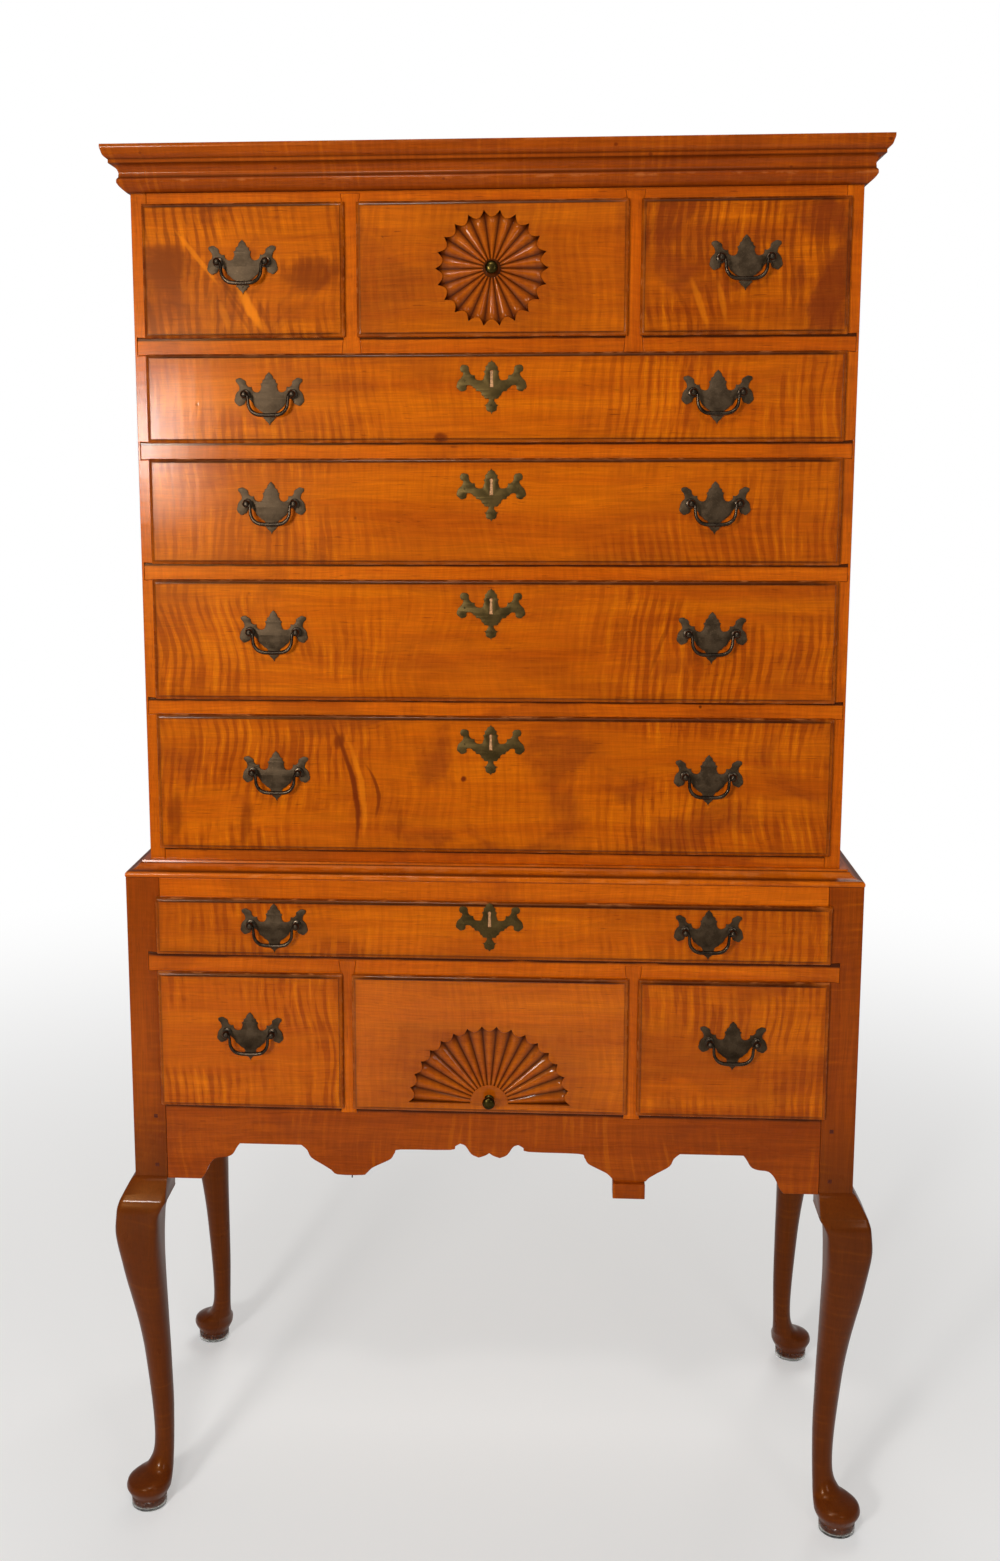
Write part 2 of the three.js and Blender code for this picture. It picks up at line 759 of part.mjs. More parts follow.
function wheelCutter() {
  return rayCutter({
    lobes: WHEEL_LOBES,
    sweep: 2 * Math.PI,
    start: 0,
    radius: WHEEL_RADIUS,
    hub: WHEEL_HUB_RADIUS,
    x: 0,
    z: (topRow.low + topRow.high) / 2,
    face: CHEST_FRONT - FIT - LIP_PROUD,
    flatHub: false,
  });
}

function fanCutter() {
  return rayCutter({
    lobes: FAN_LOBES,
    sweep: Math.PI,
    start: 0,
    radius: FAN_RADIUS,
    hub: FAN_HUB_RADIUS,
    x: 0,
    z: deepRow.low + FAN_ABOVE_LIP,
    face: -FIT - LIP_PROUD,
    flatHub: true,
  });
}

// Brass pulls
// Half the outline of a plate, from its top tip to its bottom tip, in shares of its width,
// measured from the middle between the posts.
const PLATE_SHARES = [
  [0, 0.308],
  [0.089, 0.206],
  [0.122, 0.14],
  [0.122, 0.082],
  [0.147, 0.041],
  [0.205, 0.041],
  [0.245, 0.11],
  [0.3, 0.115],
  [0.315, 0.173],
  [0.353, 0.206],
  [0.41, 0.218],
  [0.452, 0.19],
  [0.452, 0.14],
  [0.398, 0.09],
  [0.493, -0.017],
  [0.5, -0.075],
  [0.468, -0.123],
  [0.41, -0.14],
  [0.287, -0.041],
  [0.229, -0.132],
  [0.122, -0.238],
  [0.089, -0.338],
  [0, -0.457],
];

function plateOutline() {
  const right = PLATE_SHARES.map(([out, up]) => [out * PLATE_WIDTH, up * PLATE_WIDTH]);
  const left = right.slice(1, -1).map(([x, z]) => [-x, z]);
  return [...right.reverse(), ...left];
}

// The profile of a post: shares of the ball's radius, and share of the way to the pivot.
const POST_BALL_SHARES = [
  [0.85, -0.53],
  [1, 0],
  [0.72, 0.69],
  [0, 1],
];
const POST_SIDES = 8;

function pullPost(x) {
  const profile = [
    [0, 0],
    [STEM_RADIUS, 0],
    [STEM_RADIUS, PIVOT_OUT - BALL_RADIUS],
    ...POST_BALL_SHARES.map(([wide, along]) => [
      wide * BALL_RADIUS,
      PIVOT_OUT + along * BALL_RADIUS,
    ]),
  ];
  const points = profile.map(([r, along]) => new THREE.Vector2(r, along));
  const geometry = new THREE.LatheGeometry(points, POST_SIDES);
  geometry.rotateX(Math.PI);
  geometry.translate(x, 0, 0);
  return solidFromGeometry(geometry);
}

// Plate and posts, with the back of the plate on y = 0 and the posts on z = 0.
function pullPlate() {
  const half = PULL_SPACING / 2;
  const bore = new THREE.CylinderGeometry(BORE_RADIUS, BORE_RADIUS, PLATE_WIDTH, POST_SIDES);
  bore.rotateZ(Math.PI / 2);
  bore.translate(0, -PIVOT_OUT, 0);
  const posts = pullPost(half).add(pullPost(-half)).subtract(solidFromGeometry(bore));
  return boardFrom(plateOutline(), -PLATE_THICK, 0).add(posts);
}

// Half of a bail from its pin to its middle: shares of its half width and of its drop.
const BAIL_SHARES = [
  [1.02, 0],
  [0.95, -0.15],
  [0.96, -0.4],
  [1, -0.62],
  [0.94, -0.84],
  [0.76, -0.97],
  [0.4, -1],
];
const BAIL_STEPS = 20;
const BAIL_SIDES = 6;

// A bail that hangs from the origin, with its pins along x.
function bail() {
  const pinEnd = PULL_SPACING / 2 + BAIL_END_REACH;
  const pinStart = PULL_SPACING / 2 - BALL_RADIUS;
  const right = [
    new THREE.Vector3(pinEnd, 0, 0),
    new THREE.Vector3(pinStart, 0, 0),
    ...BAIL_SHARES.map(
      ([out, down]) => new THREE.Vector3(out * BAIL_HALF_WIDTH, 0, down * BAIL_DROP),
    ),
  ];
  const left = right.map((point) => new THREE.Vector3(-point.x, 0, point.z));
  const path = new THREE.CatmullRomCurve3([...right, ...left.reverse()]);
  const section = new THREE.Shape();
  section.absarc(0, 0, BAIL_RADIUS, 0, 2 * Math.PI);
  const geometry = new THREE.ExtrudeGeometry(section, {
    steps: BAIL_STEPS,
    curveSegments: BAIL_SIDES / 2,
    extrudePath: path,
    bevelEnabled: false,
  });
  return solidFromGeometry(geometry);
}

// The profile of a knob from its foot: shares of its radius and of its length.
const KNOB_SHARES = [
  [0, 0],
  [0.75, 0],
  [0.7, 0.12],
  [0.38, 0.2],
  [0.36, 0.45],
  [0.75, 0.55],
  [1, 0.74],
  [0.8, 0.92],
  [0, 1],
];
const KNOB_SIDES = 14;

function knob() {
  const points = KNOB_SHARES.map(
    ([wide, along]) => new THREE.Vector2(wide * KNOB_RADIUS, along * KNOB_LENGTH),
  );
  const geometry = new THREE.LatheGeometry(points, KNOB_SIDES);
  geometry.rotateX(Math.PI);
  return solidFromGeometry(geometry);
}

// Placing
const cabinet = new THREE.Group();

function place(name, solid, finish, [x, y, z] = [0, 0, 0]) {
  const mesh = new THREE.Mesh(geometryFromSolid(solid), finish);
  mesh.name = name;
  mesh.position.set(x, y, z);
  cabinet.add(mesh);
}

function placePull(name, x, z, face) {
  const plateBack = face - FIT - LIP_PROUD - FIT;
  place("plate_" + name, pullPlate(), agedBrass(), [x, plateBack, z]);
  place("bail_" + name, bail(), agedBrass(), [x, plateBack - PIVOT_OUT, z]);
}

function placePullPair(name, x, z, face) {
  placePull(name + "_left", -x, z, face);
  placePull(name + "_right", x, z, face);
}

function middleOf(row) {
  return (row.low + row.high) / 2;
}

function addChest() {
  place("cornice", cornice(), plainMaple());
  place("chest_top_frame", chestTopFrame(), plainMaple());
  place("chest_side_left", chestSide(-1), plainMaple());
  place("chest_side_right", chestSide(1), plainMaple());
  place("chest_back", chestBack(), insideWood());
  bladeLevels()
    .slice(0, -1)
    .forEach((level, k) => place("chest_blade_" + (k + 1), blade(level), plainMaple()));
  place("chest_bottom_frame", chestBottomFrame(), plainMaple());
}

function addBase() {
  place("waist_moulding", waistMoulding(), plainMaple());
  place("leg_front_left", leg(-1, false), darkMaple());
  place("leg_front_right", leg(1, false), darkMaple());
  place("leg_back_left", leg(-1, true), darkMaple());
  place("leg_back_right", leg(1, true), darkMaple());
  place("base_top_frame", baseTopFrame(), plainMaple());
  place("base_front_frame", baseFrontFrame(), plainMaple());
  place("base_side_left", baseSide(-1), plainMaple());
  place("base_side_right", baseSide(1), plainMaple());
  place("base_back", baseBack(), insideWood());
}

function addWideDrawers() {
  const half = CHEST_WIDTH / 2 - CHEST_LIP_INSET;
  wideRows.forEach((row, k) => {
    const name = "wide_" + (k + 1);
    const solid = drawer([-half, half], row, CHEST_FRONT, CHEST_DRAWER_DEPTH);
    place("drawer_" + name, solid, figuredMaple());
    placePullPair(name, half - PULL_FROM_LIP_END, middleOf(row) + WIDE_PULL_RISES[k], CHEST_FRONT);
  });
}

function sidePair(centreWidth, dividerSeen, outer) {
  const inner = centreWidth / 2 + dividerSeen;
  return { left: [-outer, -inner], right: [inner, outer], middle: (inner + outer) / 2 };
}

function addTopDrawers() {
  const outer = CHEST_WIDTH / 2 - CHEST_LIP_INSET;
  const pair = sidePair(TOP_CENTRE_LIP_WIDTH, CHEST_DIVIDER_SEEN, outer);
  const centre = [-TOP_CENTRE_LIP_WIDTH / 2, TOP_CENTRE_LIP_WIDTH / 2];
  const make = (xs) => drawer(xs, topRow, CHEST_FRONT, CHEST_DRAWER_DEPTH);
  place("drawer_top_left", make(pair.left), figuredMaple());
  place("drawer_top_right", make(pair.right), figuredMaple());
  place("drawer_top_centre", make(centre).subtract(wheelCutter()), figuredMaple());
  placePullPair("top", pair.middle, middleOf(topRow) + TOP_PULL_RISE, CHEST_FRONT);
  const hubFace = CHEST_FRONT - FIT - LIP_PROUD + rayDepth(0, 0) - FIT;
  place("knob_top", knob(), agedBrass(), [0, hubFace, middleOf(topRow)]);
}

function addBaseDrawers() {
  const outer = BASE_WIDTH / 2 - BASE_LIP_INSET;
  const pair = sidePair(DEEP_CENTRE_LIP_WIDTH, BASE_DIVIDER_SEEN, outer);
  const centre = [-DEEP_CENTRE_LIP_WIDTH / 2, DEEP_CENTRE_LIP_WIDTH / 2];
  const make = (xs) => drawer(xs, deepRow, 0, BASE_DRAWER_DEPTH);
  const shallow = drawer([-outer, outer], shallowRow, 0, BASE_DRAWER_DEPTH);
  place("drawer_shallow", shallow, figuredMaple());
  const shallowPull = outer - PULL_FROM_LIP_END;
  placePullPair("shallow", shallowPull, middleOf(shallowRow) + SHALLOW_PULL_RISE, 0);
  place("drawer_deep_left", make(pair.left), figuredMaple());
  place("drawer_deep_right", make(pair.right), figuredMaple());
  place("drawer_deep_centre", make(centre).subtract(fanCutter()), figuredMaple());
  placePullPair("deep", pair.middle, middleOf(deepRow) + DEEP_PULL_RISE, 0);
  const knobZ = deepRow.low + FAN_ABOVE_LIP + FAN_KNOB_RISE;
  place("knob_deep", knob(), agedBrass(), [0, -FIT - LIP_PROUD - FIT, knobZ]);
}

addBase();
addChest();
addBaseDrawers();
addWideDrawers();
addTopDrawers();

// Centre the footprint on the origin, to the nearest step of the grid.
const bounds = new THREE.Box3().setFromObject(cabinet);
const middle = (bounds.min.y + bounds.max.y) / 2;
cabinet.position.y = -Math.round(middle / CENTRE_GRID) * CENTRE_GRID;

export default cabinet;
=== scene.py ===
import math

import bmesh
import bpy
from mathutils import Matrix, Vector, noise
from mathutils.geometry import tessellate_polygon


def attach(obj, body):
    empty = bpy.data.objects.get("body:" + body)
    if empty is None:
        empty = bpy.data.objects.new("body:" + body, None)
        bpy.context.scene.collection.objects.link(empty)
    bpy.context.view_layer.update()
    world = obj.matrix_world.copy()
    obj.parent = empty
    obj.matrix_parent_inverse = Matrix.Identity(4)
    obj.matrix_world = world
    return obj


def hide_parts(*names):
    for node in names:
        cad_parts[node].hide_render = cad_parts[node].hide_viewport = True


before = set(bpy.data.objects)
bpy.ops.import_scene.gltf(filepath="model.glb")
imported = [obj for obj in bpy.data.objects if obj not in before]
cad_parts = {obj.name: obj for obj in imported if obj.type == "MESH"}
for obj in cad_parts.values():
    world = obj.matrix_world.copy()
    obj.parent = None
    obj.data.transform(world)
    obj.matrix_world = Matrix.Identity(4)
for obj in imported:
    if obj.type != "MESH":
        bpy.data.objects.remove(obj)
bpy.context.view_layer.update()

# Lengths are in millimetres in the shared frame, unless a comment says metres.
MM = 0.001
SIDES = ((-1, "left"), (1, "right"))

# Planes and levels of the frame
FIT = 0.25
JOINT_GAP = 0.15
CUT_OVER = 5.0
BASE_FRONT = -229.5
CHEST_FRONT = -201.5
BACK = 230.5
BASE_TOP = 912.0
BASE_HALF = 485.0
CHEST_HALF = 457.0
POST = 45.0
POST_INNER = BASE_HALF - POST
SIDE_BOARD = 20.0
BACK_BOARD = 12.0
TOP_BOARD = 18.0
CHEST_INNER = CHEST_HALF - SIDE_BOARD
CHEST_TOP = 1841.0
LEG_HEIGHT = 493.0
KNEE_THROW = 18.5
PAD_HEIGHT = 50.0
CUP_HEIGHT = 14.0
CUP_RADIUS = 24.5
RAIL_DEPTH = 45.0
FRAME_DEPTH = 22.0
RUNNER_WIDTH = 22.0
RUNNER_HEIGHT = 18.0
GUIDE_HEIGHT = 10.0
APRON_THICK = 20.0
APRON_LOW = 490.0
APRON_RISE = 52.0

# Drawer rows: lowest and highest edge of the lips
WIDE_ROWS = [(947.0, 1129.0), (1148.5, 1306.5), (1326.0, 1461.5), (1481.0, 1593.0)]
TOP_ROW = (1612.5, 1778.5)
SHALLOW_ROW = (809.0, 887.0)
DEEP_ROW = (597.0, 785.0)
LIP_OVER_RAIL = 3.0
LIP_OVER_SIDE = 5.0
LIP_PROUD = 8.5
DRAWER_WALL = 11.0
DRAWER_FLOOR = 8.0
SIDE_CLEAR = 1.5
TOP_CLEAR = 4.0
FRONT_BEHIND = 12.0


# Shapes: points in millimetres and faces
def box_shape(xs, ys, zs):
    points = [(x, y, z) for x in xs for y in ys for z in zs]
    faces = [(0, 1, 3, 2), (4, 6, 7, 5), (0, 4, 5, 1), (2, 3, 7, 6), (0, 2, 6, 4), (1, 5, 7, 3)]
    return points, faces


def span(side, near, far):
    """Two distances from the middle as x on one side of it, the lower first."""
    return tuple(sorted((side * near, side * far)))


def shapes_joined(shapes):
    points, faces = [], []
    for more_points, more_faces in shapes:
        start = len(points)
        points += more_points
        faces += [tuple(start + k for k in face) for face in more_faces]
    return points, faces


def faces_between(rings, size):
    """Faces that join a number of rings of equally many points, in order."""
    faces = []
    for here in range(0, (rings - 1) * size, size):
        for k in range(size):
            after = (k + 1) % size
            faces.append((here + k, here + after, here + size + after, here + size + k))
    return faces


def loft(rings):
    """Rings of equally many points, joined in order, with flat ends."""
    size = len(rings[0])
    last = (len(rings) - 1) * size
    ends = [tuple(range(size))[::-1], tuple(range(last, last + size))]
    return [point for ring in rings for point in ring], faces_between(len(rings), size) + ends


AXES = {"x": (1, 2, 0), "y": (0, 2, 1), "z": (0, 1, 2)}


def prism(outline, axis, low, high):
    """An outline swept along an axis. The outline's own two directions keep their order."""
    first, second, along = AXES[axis]
    rings = []
    for level in (low, high):
        ring = []
        for a, b in outline:
            point = [0.0, 0.0, 0.0]
            point[first], point[second], point[along] = a, b, level
            ring.append(tuple(point))
        rings.append(ring)
    return loft(rings)


def turned_shape(profile, origin, axis, sides):
    """A profile of radius and distance turned about an axis, with flat ends."""
    points = []
    for radius, along in profile:
        for k in range(sides):
            angle = 2 * math.pi * k / sides
            c, s = radius * math.cos(angle), radius * math.sin(angle)
            offset = {"z": (c, s, along), "y": (c, along, s)}[axis]
            points.append(tuple(a + b for a, b in zip(origin, offset)))
    last = (len(profile) - 1) * sides
    ends = [tuple(range(sides)), tuple(range(last, last + sides))]
    return points, faces_between(len(profile), sides) + ends


def arc(radius, first, last, steps, centre=(0.0, 0.0)):
    """Points on a circle between two angles in degrees."""
    points = []
    for step in range(steps + 1):
        angle = math.radians(first + (last - first) * step / steps)
        points.append((centre[0] + radius * math.cos(angle), centre[1] + radius * math.sin(angle)))
    return points


SMOOTH_TURN = math.radians(48)
SPLINE_STEPS = 4


def turn_at(a, b, c):
    first = Vector((b[0] - a[0], b[1] - a[1]))
    second = Vector((c[0] - b[0], c[1] - b[1]))
    return first.angle(second)


def smoothed(points, steps=SPLINE_STEPS, limit=SMOOTH_TURN):
    """A curve through points that keeps its corners: where the line turns by more than the limit."""
    result = []
    for k, (p1, p2) in enumerate(zip(points, points[1:])):
        before = points[k - 1] if k > 0 else None
        after = points[k + 2] if k + 2 < len(points) else None
        if before is None or turn_at(before, p1, p2) > limit:
            before = tuple(2 * a - b for a, b in zip(p1, p2))
        if after is None or turn_at(p1, p2, after) > limit:
            after = tuple(2 * b - a for a, b in zip(p1, p2))
        for step in range(steps):
            t = step / steps
            result.append(tuple(spline(t, *four) for four in zip(before, p1, p2, after)))
    result.append(points[-1])
    return result


def spline(t, a, b, c, d):
    """A value between b and c that also follows their neighbours a and d."""
    return 0.5 * (2 * b + (c - a) * t + (2 * a - 5 * b + 4 * c - d) * t**2 + (3 * b - a - 3 * c + d) * t**3)


# Meshes and pieces
MERGE_DISTANCE = 1e-6
FLAT_ENOUGH = math.radians(0.5)
SHARP_ANGLE = math.radians(32)


def mesh_in_metres(name, points, faces):
    mesh = bpy.data.meshes.new(name)
    mesh.from_pydata([tuple(value * MM for value in point) for point in points], [], faces)
    return mesh


def cleaned(mesh, merge=True):
    """Merges doubled points, where asked, and turns the faces outward."""
    work = bmesh.new()
    work.from_mesh(mesh)
    if merge:
        bmesh.ops.remove_doubles(work, verts=work.verts, dist=MERGE_DISTANCE)
    bmesh.ops.recalc_face_normals(work, faces=work.faces)
    work.to_mesh(mesh)
    work.free()
    return mesh


def mesh_from(name, shape):
    return cleaned(mesh_in_metres(name, *shape))


def put_in_scene(name, data):
    thing = bpy.data.objects.new(name, data)
    bpy.context.scene.collection.objects.link(thing)
    return thing


def evaluated_mesh(thing):
    """The mesh of an object with its modifiers, or of a curve."""
    bpy.context.view_layer.update()
    graph = bpy.context.evaluated_depsgraph_get()
    return bpy.data.meshes.new_from_object(thing.evaluated_get(graph))


def carved(base, operation, others):
    """Boolean of shapes; gives back a shape in millimetres."""
    thing = put_in_scene("work", mesh_from("work", base))
    tools = []
    for other in others:
        tool = put_in_scene("tool", mesh_from("tool", other))
        modifier = thing.modifiers.new("cut", "BOOLEAN")
        modifier.operation = operation
        modifier.solver = "EXACT"
        modifier.object = tool
        tools.append(tool)
    result = evaluated_mesh(thing)
    work = bmesh.new()
    work.from_mesh(result)
    bmesh.ops.dissolve_limit(work, angle_limit=FLAT_ENOUGH, verts=work.verts, edges=work.edges)
    work.to_mesh(result)
    work.free()
    points = [tuple(value / MM for value in vertex.co) for vertex in result.vertices]
    faces = [tuple(polygon.vertices) for polygon in result.polygons]
    for each in (thing, *tools):
        bpy.data.objects.remove(each)
    return points, faces


def finished(thing, body, material, replaced=(), bevel=0.0, sharp=SHARP_ANGLE):
    """Gives a piece its edges, material and body."""
    mesh = thing.data
    mesh.materials.append(material)
    mesh.polygons.foreach_set("use_smooth", [True] * len(mesh.polygons))
    if bevel:
        modifier = thing.modifiers.new("edges", "BEVEL")
        modifier.width = bevel * MM
        modifier.segments = 2
        modifier.limit_method = "ANGLE"
        modifier.angle_limit = SHARP_ANGLE
        modifier.harden_normals = True
    else:
        mesh.set_sharp_from_angle(angle=sharp)
    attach(thing, body)
    if replaced:
        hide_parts(*replaced)


def piece(name, shape, body, material, replaced=(), bevel=0.0):
    thing = put_in_scene(name, mesh_from(name, shape))
    finished(thing, body, material, replaced, bevel)
    return thing


def set_values(mesh, name, values):
    """Writes a value for each vertex, in the order of the vertices."""
    attribute = mesh.attributes.new(name, "FLOAT", "POINT")
    attribute.data.foreach_set("value", values)


# Shader nodes
class Net:
    """Adds nodes to a tree, with a socket or a value for each input."""

    def __init__(self, tree):
        self.tree = tree

    def add(self, kind, values=(), **settings):
        node = self.tree.nodes.new("ShaderNode" + kind)
        for key, value in settings.items():
            setattr(node, key, value)
        for key, value in dict(values).items():
            self.put(node.inputs[key], value)
        return node

    def put(self, socket, value):
        if isinstance(value, bpy.types.NodeSocket):
            self.tree.links.new(value, socket)
        elif socket.type == "RGBA":
            socket.default_value = (*value, 1)
        else:
            socket.default_value = value

    def math(self, operation, a, b=0.0, c=0.0):
        return self.add("Math", {0: a, 1: b, 2: c}, operation=operation).outputs[0]

    def times(self, a, b):
        return self.math("MULTIPLY", a, b)

    def vector(self, operation, a, b):
        return self.add("VectorMath", {0: a, 1: b}, operation=operation).outputs[0]

    def noise(self, vector, scale, detail=2.0, roughness=0.5, distortion=0.0):
        """Noise with one scale, or with a scale for each direction of the vector."""
        if isinstance(scale, tuple):
            vector = self.vector("MULTIPLY", vector, scale)
            scale = 1.0
        shape = {"Detail": detail, "Roughness": roughness, "Distortion": distortion}
        return self.add("TexNoise", {"Vector": vector, "Scale": scale, **shape}).outputs[0]

    def band(self, value, low, high, to_low=0.0, to_high=1.0):
        values = {0: value, 1: low, 2: high, 3: to_low, 4: to_high}
        return self.add("MapRange", values, interpolation_type="SMOOTHSTEP").outputs[0]

    def blend(self, factor, a, b, kind="MIX"):
        node = self.add("Mix", {0: factor, 6: a, 7: b}, data_type="RGBA", blend_type=kind)
        return node.outputs[2]

    def place(self):
        return self.add("TexCoord").outputs["Object"]

    def painted(self, name):
        """A value that set_values wrote on the mesh, or 0 where it has none."""
        return self.add("Attribute", attribute_name=name, attribute_type="GEOMETRY").outputs["Fac"]

    def relief(self, surface, height):
        """Gives a surface relief by a height in metres."""
        normal = self.add("Bump", {"Strength": 1.0, "Distance": 1.0, "Height": height}).outputs[0]
        self.put(surface.inputs["Normal"], normal)
        return normal


def new_material(name):
    material = bpy.data.materials.new(name)
    material.use_nodes = True
    material.node_tree.nodes.clear()
    net = Net(material.node_tree)
    surface = net.add("BsdfPrincipled")
    out = net.add("OutputMaterial")
    net.put(out.inputs["Surface"], surface.outputs[0])
    return material, net, surface


# Maple
BRIGHT_BAR = (0.58, 0.135, 0.001)
RED_BLOTCH = (0.16, 0.022, 0.003)
PORE = (0.09, 0.011, 0.001)
SPECK = (0.035, 0.006, 0.001)
FAINT_FIGURE = 0.08
MIDDLE_FIGURE = 0.3
LEAN = 0.045
SWAY = 0.035
# Relief in metres of grain, plane marks, slow hollows and specks
GRAIN_RELIEF = 0.000012
PLANE_RELIEF = 0.00009
HOLLOW_RELIEF = 0.0005
SPECK_RELIEF = -0.00008
MAPLE_INPUTS = {
    "Vector": "Vector", "Deep": "Color", "Middle": "Color", "Light": "Color",
    "Figure": "Float", "Blotch": "Float", "Speck": "Float", "Ends": "Float",
}
MAPLE_OUTPUTS = {"Color": "Color", "Roughness": "Float", "Height": "Float"}


def wood_group():
    """Varnished maple. Its vector runs along the grain in x, across the face in y and inward in z."""
    tree = bpy.data.node_groups.new("maple", "ShaderNodeTree")
    for way, sockets in (("INPUT", MAPLE_INPUTS), ("OUTPUT", MAPLE_OUTPUTS)):
        for label, kind in sockets.items():
            tree.interface.new_socket(label, in_out=way, socket_type="NodeSocket" + kind)
    given = tree.nodes.new("NodeGroupInput").outputs
    result = tree.nodes.new("NodeGroupOutput").inputs
    net = Net(tree)
    vector = given["Vector"]
    slow = net.noise(vector, (2.2, 7.0, 7.0), detail=3.0)
    sway = net.times(net.math("SUBTRACT", slow, 0.5), SWAY)
    bend = net.add("CombineXYZ", {"X": net.times(sway, 0.8), "Y": sway, "Z": sway})
    wavy = net.vector("ADD", vector, bend.outputs[0])
    # Growth bands, and clouds of darker wood
    bands = net.noise(wavy, (1.6, 42.0, 42.0), detail=5.0, roughness=0.65)
    base = net.blend(net.band(bands, 0.28, 0.72), given["Middle"], given["Light"])
    cloud = net.noise(wavy, (3.4, 9.0, 9.0), detail=4.0, roughness=0.6)
    base = net.blend(net.band(cloud, 0.58, 0.36, 0.0, 0.3), base, given["Deep"])
    # Curl: short bars across the grain, in patches
    slant = net.noise(vector, (3.0, 6.5, 6.5), detail=1.0)
    shift = net.times(net.math("SUBTRACT", slant, 0.5), LEAN)
    leaning = net.add("CombineXYZ", {"X": shift, "Y": 0.0, "Z": 0.0}).outputs[0]
    crossed = net.vector("ADD", vector, leaning)
    ripple = {"Scale": 27.0, "Distortion": 4.0, "Detail": 2.0, "Detail Scale": 1.3}
    ripple["Vector"] = net.vector("MULTIPLY", crossed, (1.0, 0.22, 0.22))
    wave = net.add("TexWave", ripple, wave_type="BANDS", bands_direction="X").outputs["Fac"]
    bars = net.noise(crossed, (70.0, 9.0, 9.0), detail=4.0, roughness=0.66)
    curl = net.math("ADD", net.times(wave, 0.22), net.times(bars, 1.12))
    patches = net.noise(vector, (6.0, 12.0, 12.0), detail=3.0)
    patch = net.band(patches, 0.36, 0.56, FAINT_FIGURE, 1.0)
    ends = net.band(given["Ends"], 0.0, 1.0, MIDDLE_FIGURE, 1.0)
    amount = net.times(net.times(patch, given["Figure"]), ends)
    dark_bars = net.times(net.band(curl, 0.65, 0.79), amount)
    light_bars = net.times(net.band(curl, 0.58, 0.45), amount)
    base = net.blend(net.times(dark_bars, 0.66), base, given["Deep"])
    base = net.blend(net.times(light_bars, 0.62), base, BRIGHT_BAR)
    # Blotches of redder and browner varnish
    blots = net.noise(vector, (6.5, 8.0, 8.0), detail=5.0, roughness=0.55, distortion=0.9)
    blot = net.times(net.band(blots, 0.5, 0.66), given["Blotch"])
    base = net.blend(blot, base, RED_BLOTCH)
    # Fine streaks along the grain and a faint weave across it
    streaks = net.noise(wavy, (13.0, 480.0, 480.0), detail=4.0, roughness=0.7)
    weave = net.noise(crossed, (420.0, 38.0, 38.0))
    contrast = net.band(streaks, 0.3, 0.7, 0.82, 1.12)
    grain = net.times(contrast, net.band(weave, 0.3, 0.7, 0.95, 1.05))
    shade = net.add("CombineColor", {0: grain, 1: grain, 2: grain}).outputs[0]
    base = net.blend(1.0, base, shade, "MULTIPLY")
    # Short dark pores and cracks, and round specks
    pores = net.noise(wavy, (38.0, 650.0, 650.0), detail=1.0)
    base = net.blend(net.band(pores, 0.69, 0.77, 0.0, 0.55), base, PORE)
    cells = net.add("TexVoronoi", {"Vector": vector, "Scale": 16.0}, feature="F1")
    rare = net.math("GREATER_THAN", net.noise(vector, (9.0, 9.0, 9.0)), 0.56)
    dots = net.times(net.band(cells.outputs["Distance"], 0.05, 0.016), rare)
    base = net.blend(net.times(dots, given["Speck"]), base, SPECK)
    net.put(result["Color"], base)
    rub = net.noise(vector, (7.0, 12.0, 12.0), detail=4.0)
    net.put(result["Roughness"], net.band(rub, 0.3, 0.7, 0.26, 0.4))
    marks = net.noise(vector, (60.0, 5.0, 5.0))
    hollow = net.noise(vector, (5.0, 9.0, 9.0), detail=1.0)
    relief = net.times(streaks, GRAIN_RELIEF)
    relief = net.math("MULTIPLY_ADD", marks, PLANE_RELIEF, relief)
    relief = net.math("MULTIPLY_ADD", hollow, HOLLOW_RELIEF, relief)
    relief = net.math("MULTIPLY_ADD", dots, SPECK_RELIEF, relief)
    net.put(result["Height"], relief)
    return tree


MAPLE = wood_group()


def look(deep, middle, light, figure, blotch, speck):
    """A kind of maple: three colours, and how strong its figure, blotches and specks are."""
    colors = {"Deep": deep, "Middle": middle, "Light": light}
    return {**colors, "Figure": figure, "Blotch": blotch, "Speck": speck}


FIGURED = look((0.220, 0.029, 0.001), (0.385, 0.065, 0.001), (0.50, 0.106, 0.001), 1.0, 0.35, 0.45)
RAILS = look((0.25, 0.033, 0.001), (0.42, 0.068, 0.001), (0.57, 0.118, 0.002), 0.25, 0.35, 0.7)
# Plainer maple, darker than RAILS partly as painted shade on the cornice and the apron
PLAIN_SHADED = look((0.15, 0.019, 0.001), (0.235, 0.034, 0.001), (0.325, 0.057, 0.002), 0.3, 0.35, 0.8)
POSTS = look((0.13, 0.016, 0.001), (0.215, 0.032, 0.001), (0.295, 0.051, 0.001), 0.3, 0.3, 0.5)
INSIDE = look((0.38, 0.20, 0.09), (0.50, 0.30, 0.15), (0.61, 0.40, 0.22), 0.0, 0.0, 0.8)
BROWNER = {"Deep": (0.16, 0.020, 0.001), "Middle": (0.30, 0.048, 0.001)}
# Colour of painted shade in crevices, recesses and hollows, mixed with grime
SHADE_AND_GRIME = (0.042, 0.006, 0.001)
BARE = (0.58, 0.19, 0.05)
LIGHT_STREAK = (0.68, 0.17, 0.003)
DARK_STREAK = (0.13, 0.015, 0.001)
VARNISH_TINT = (1.0, 0.42, 0.08)
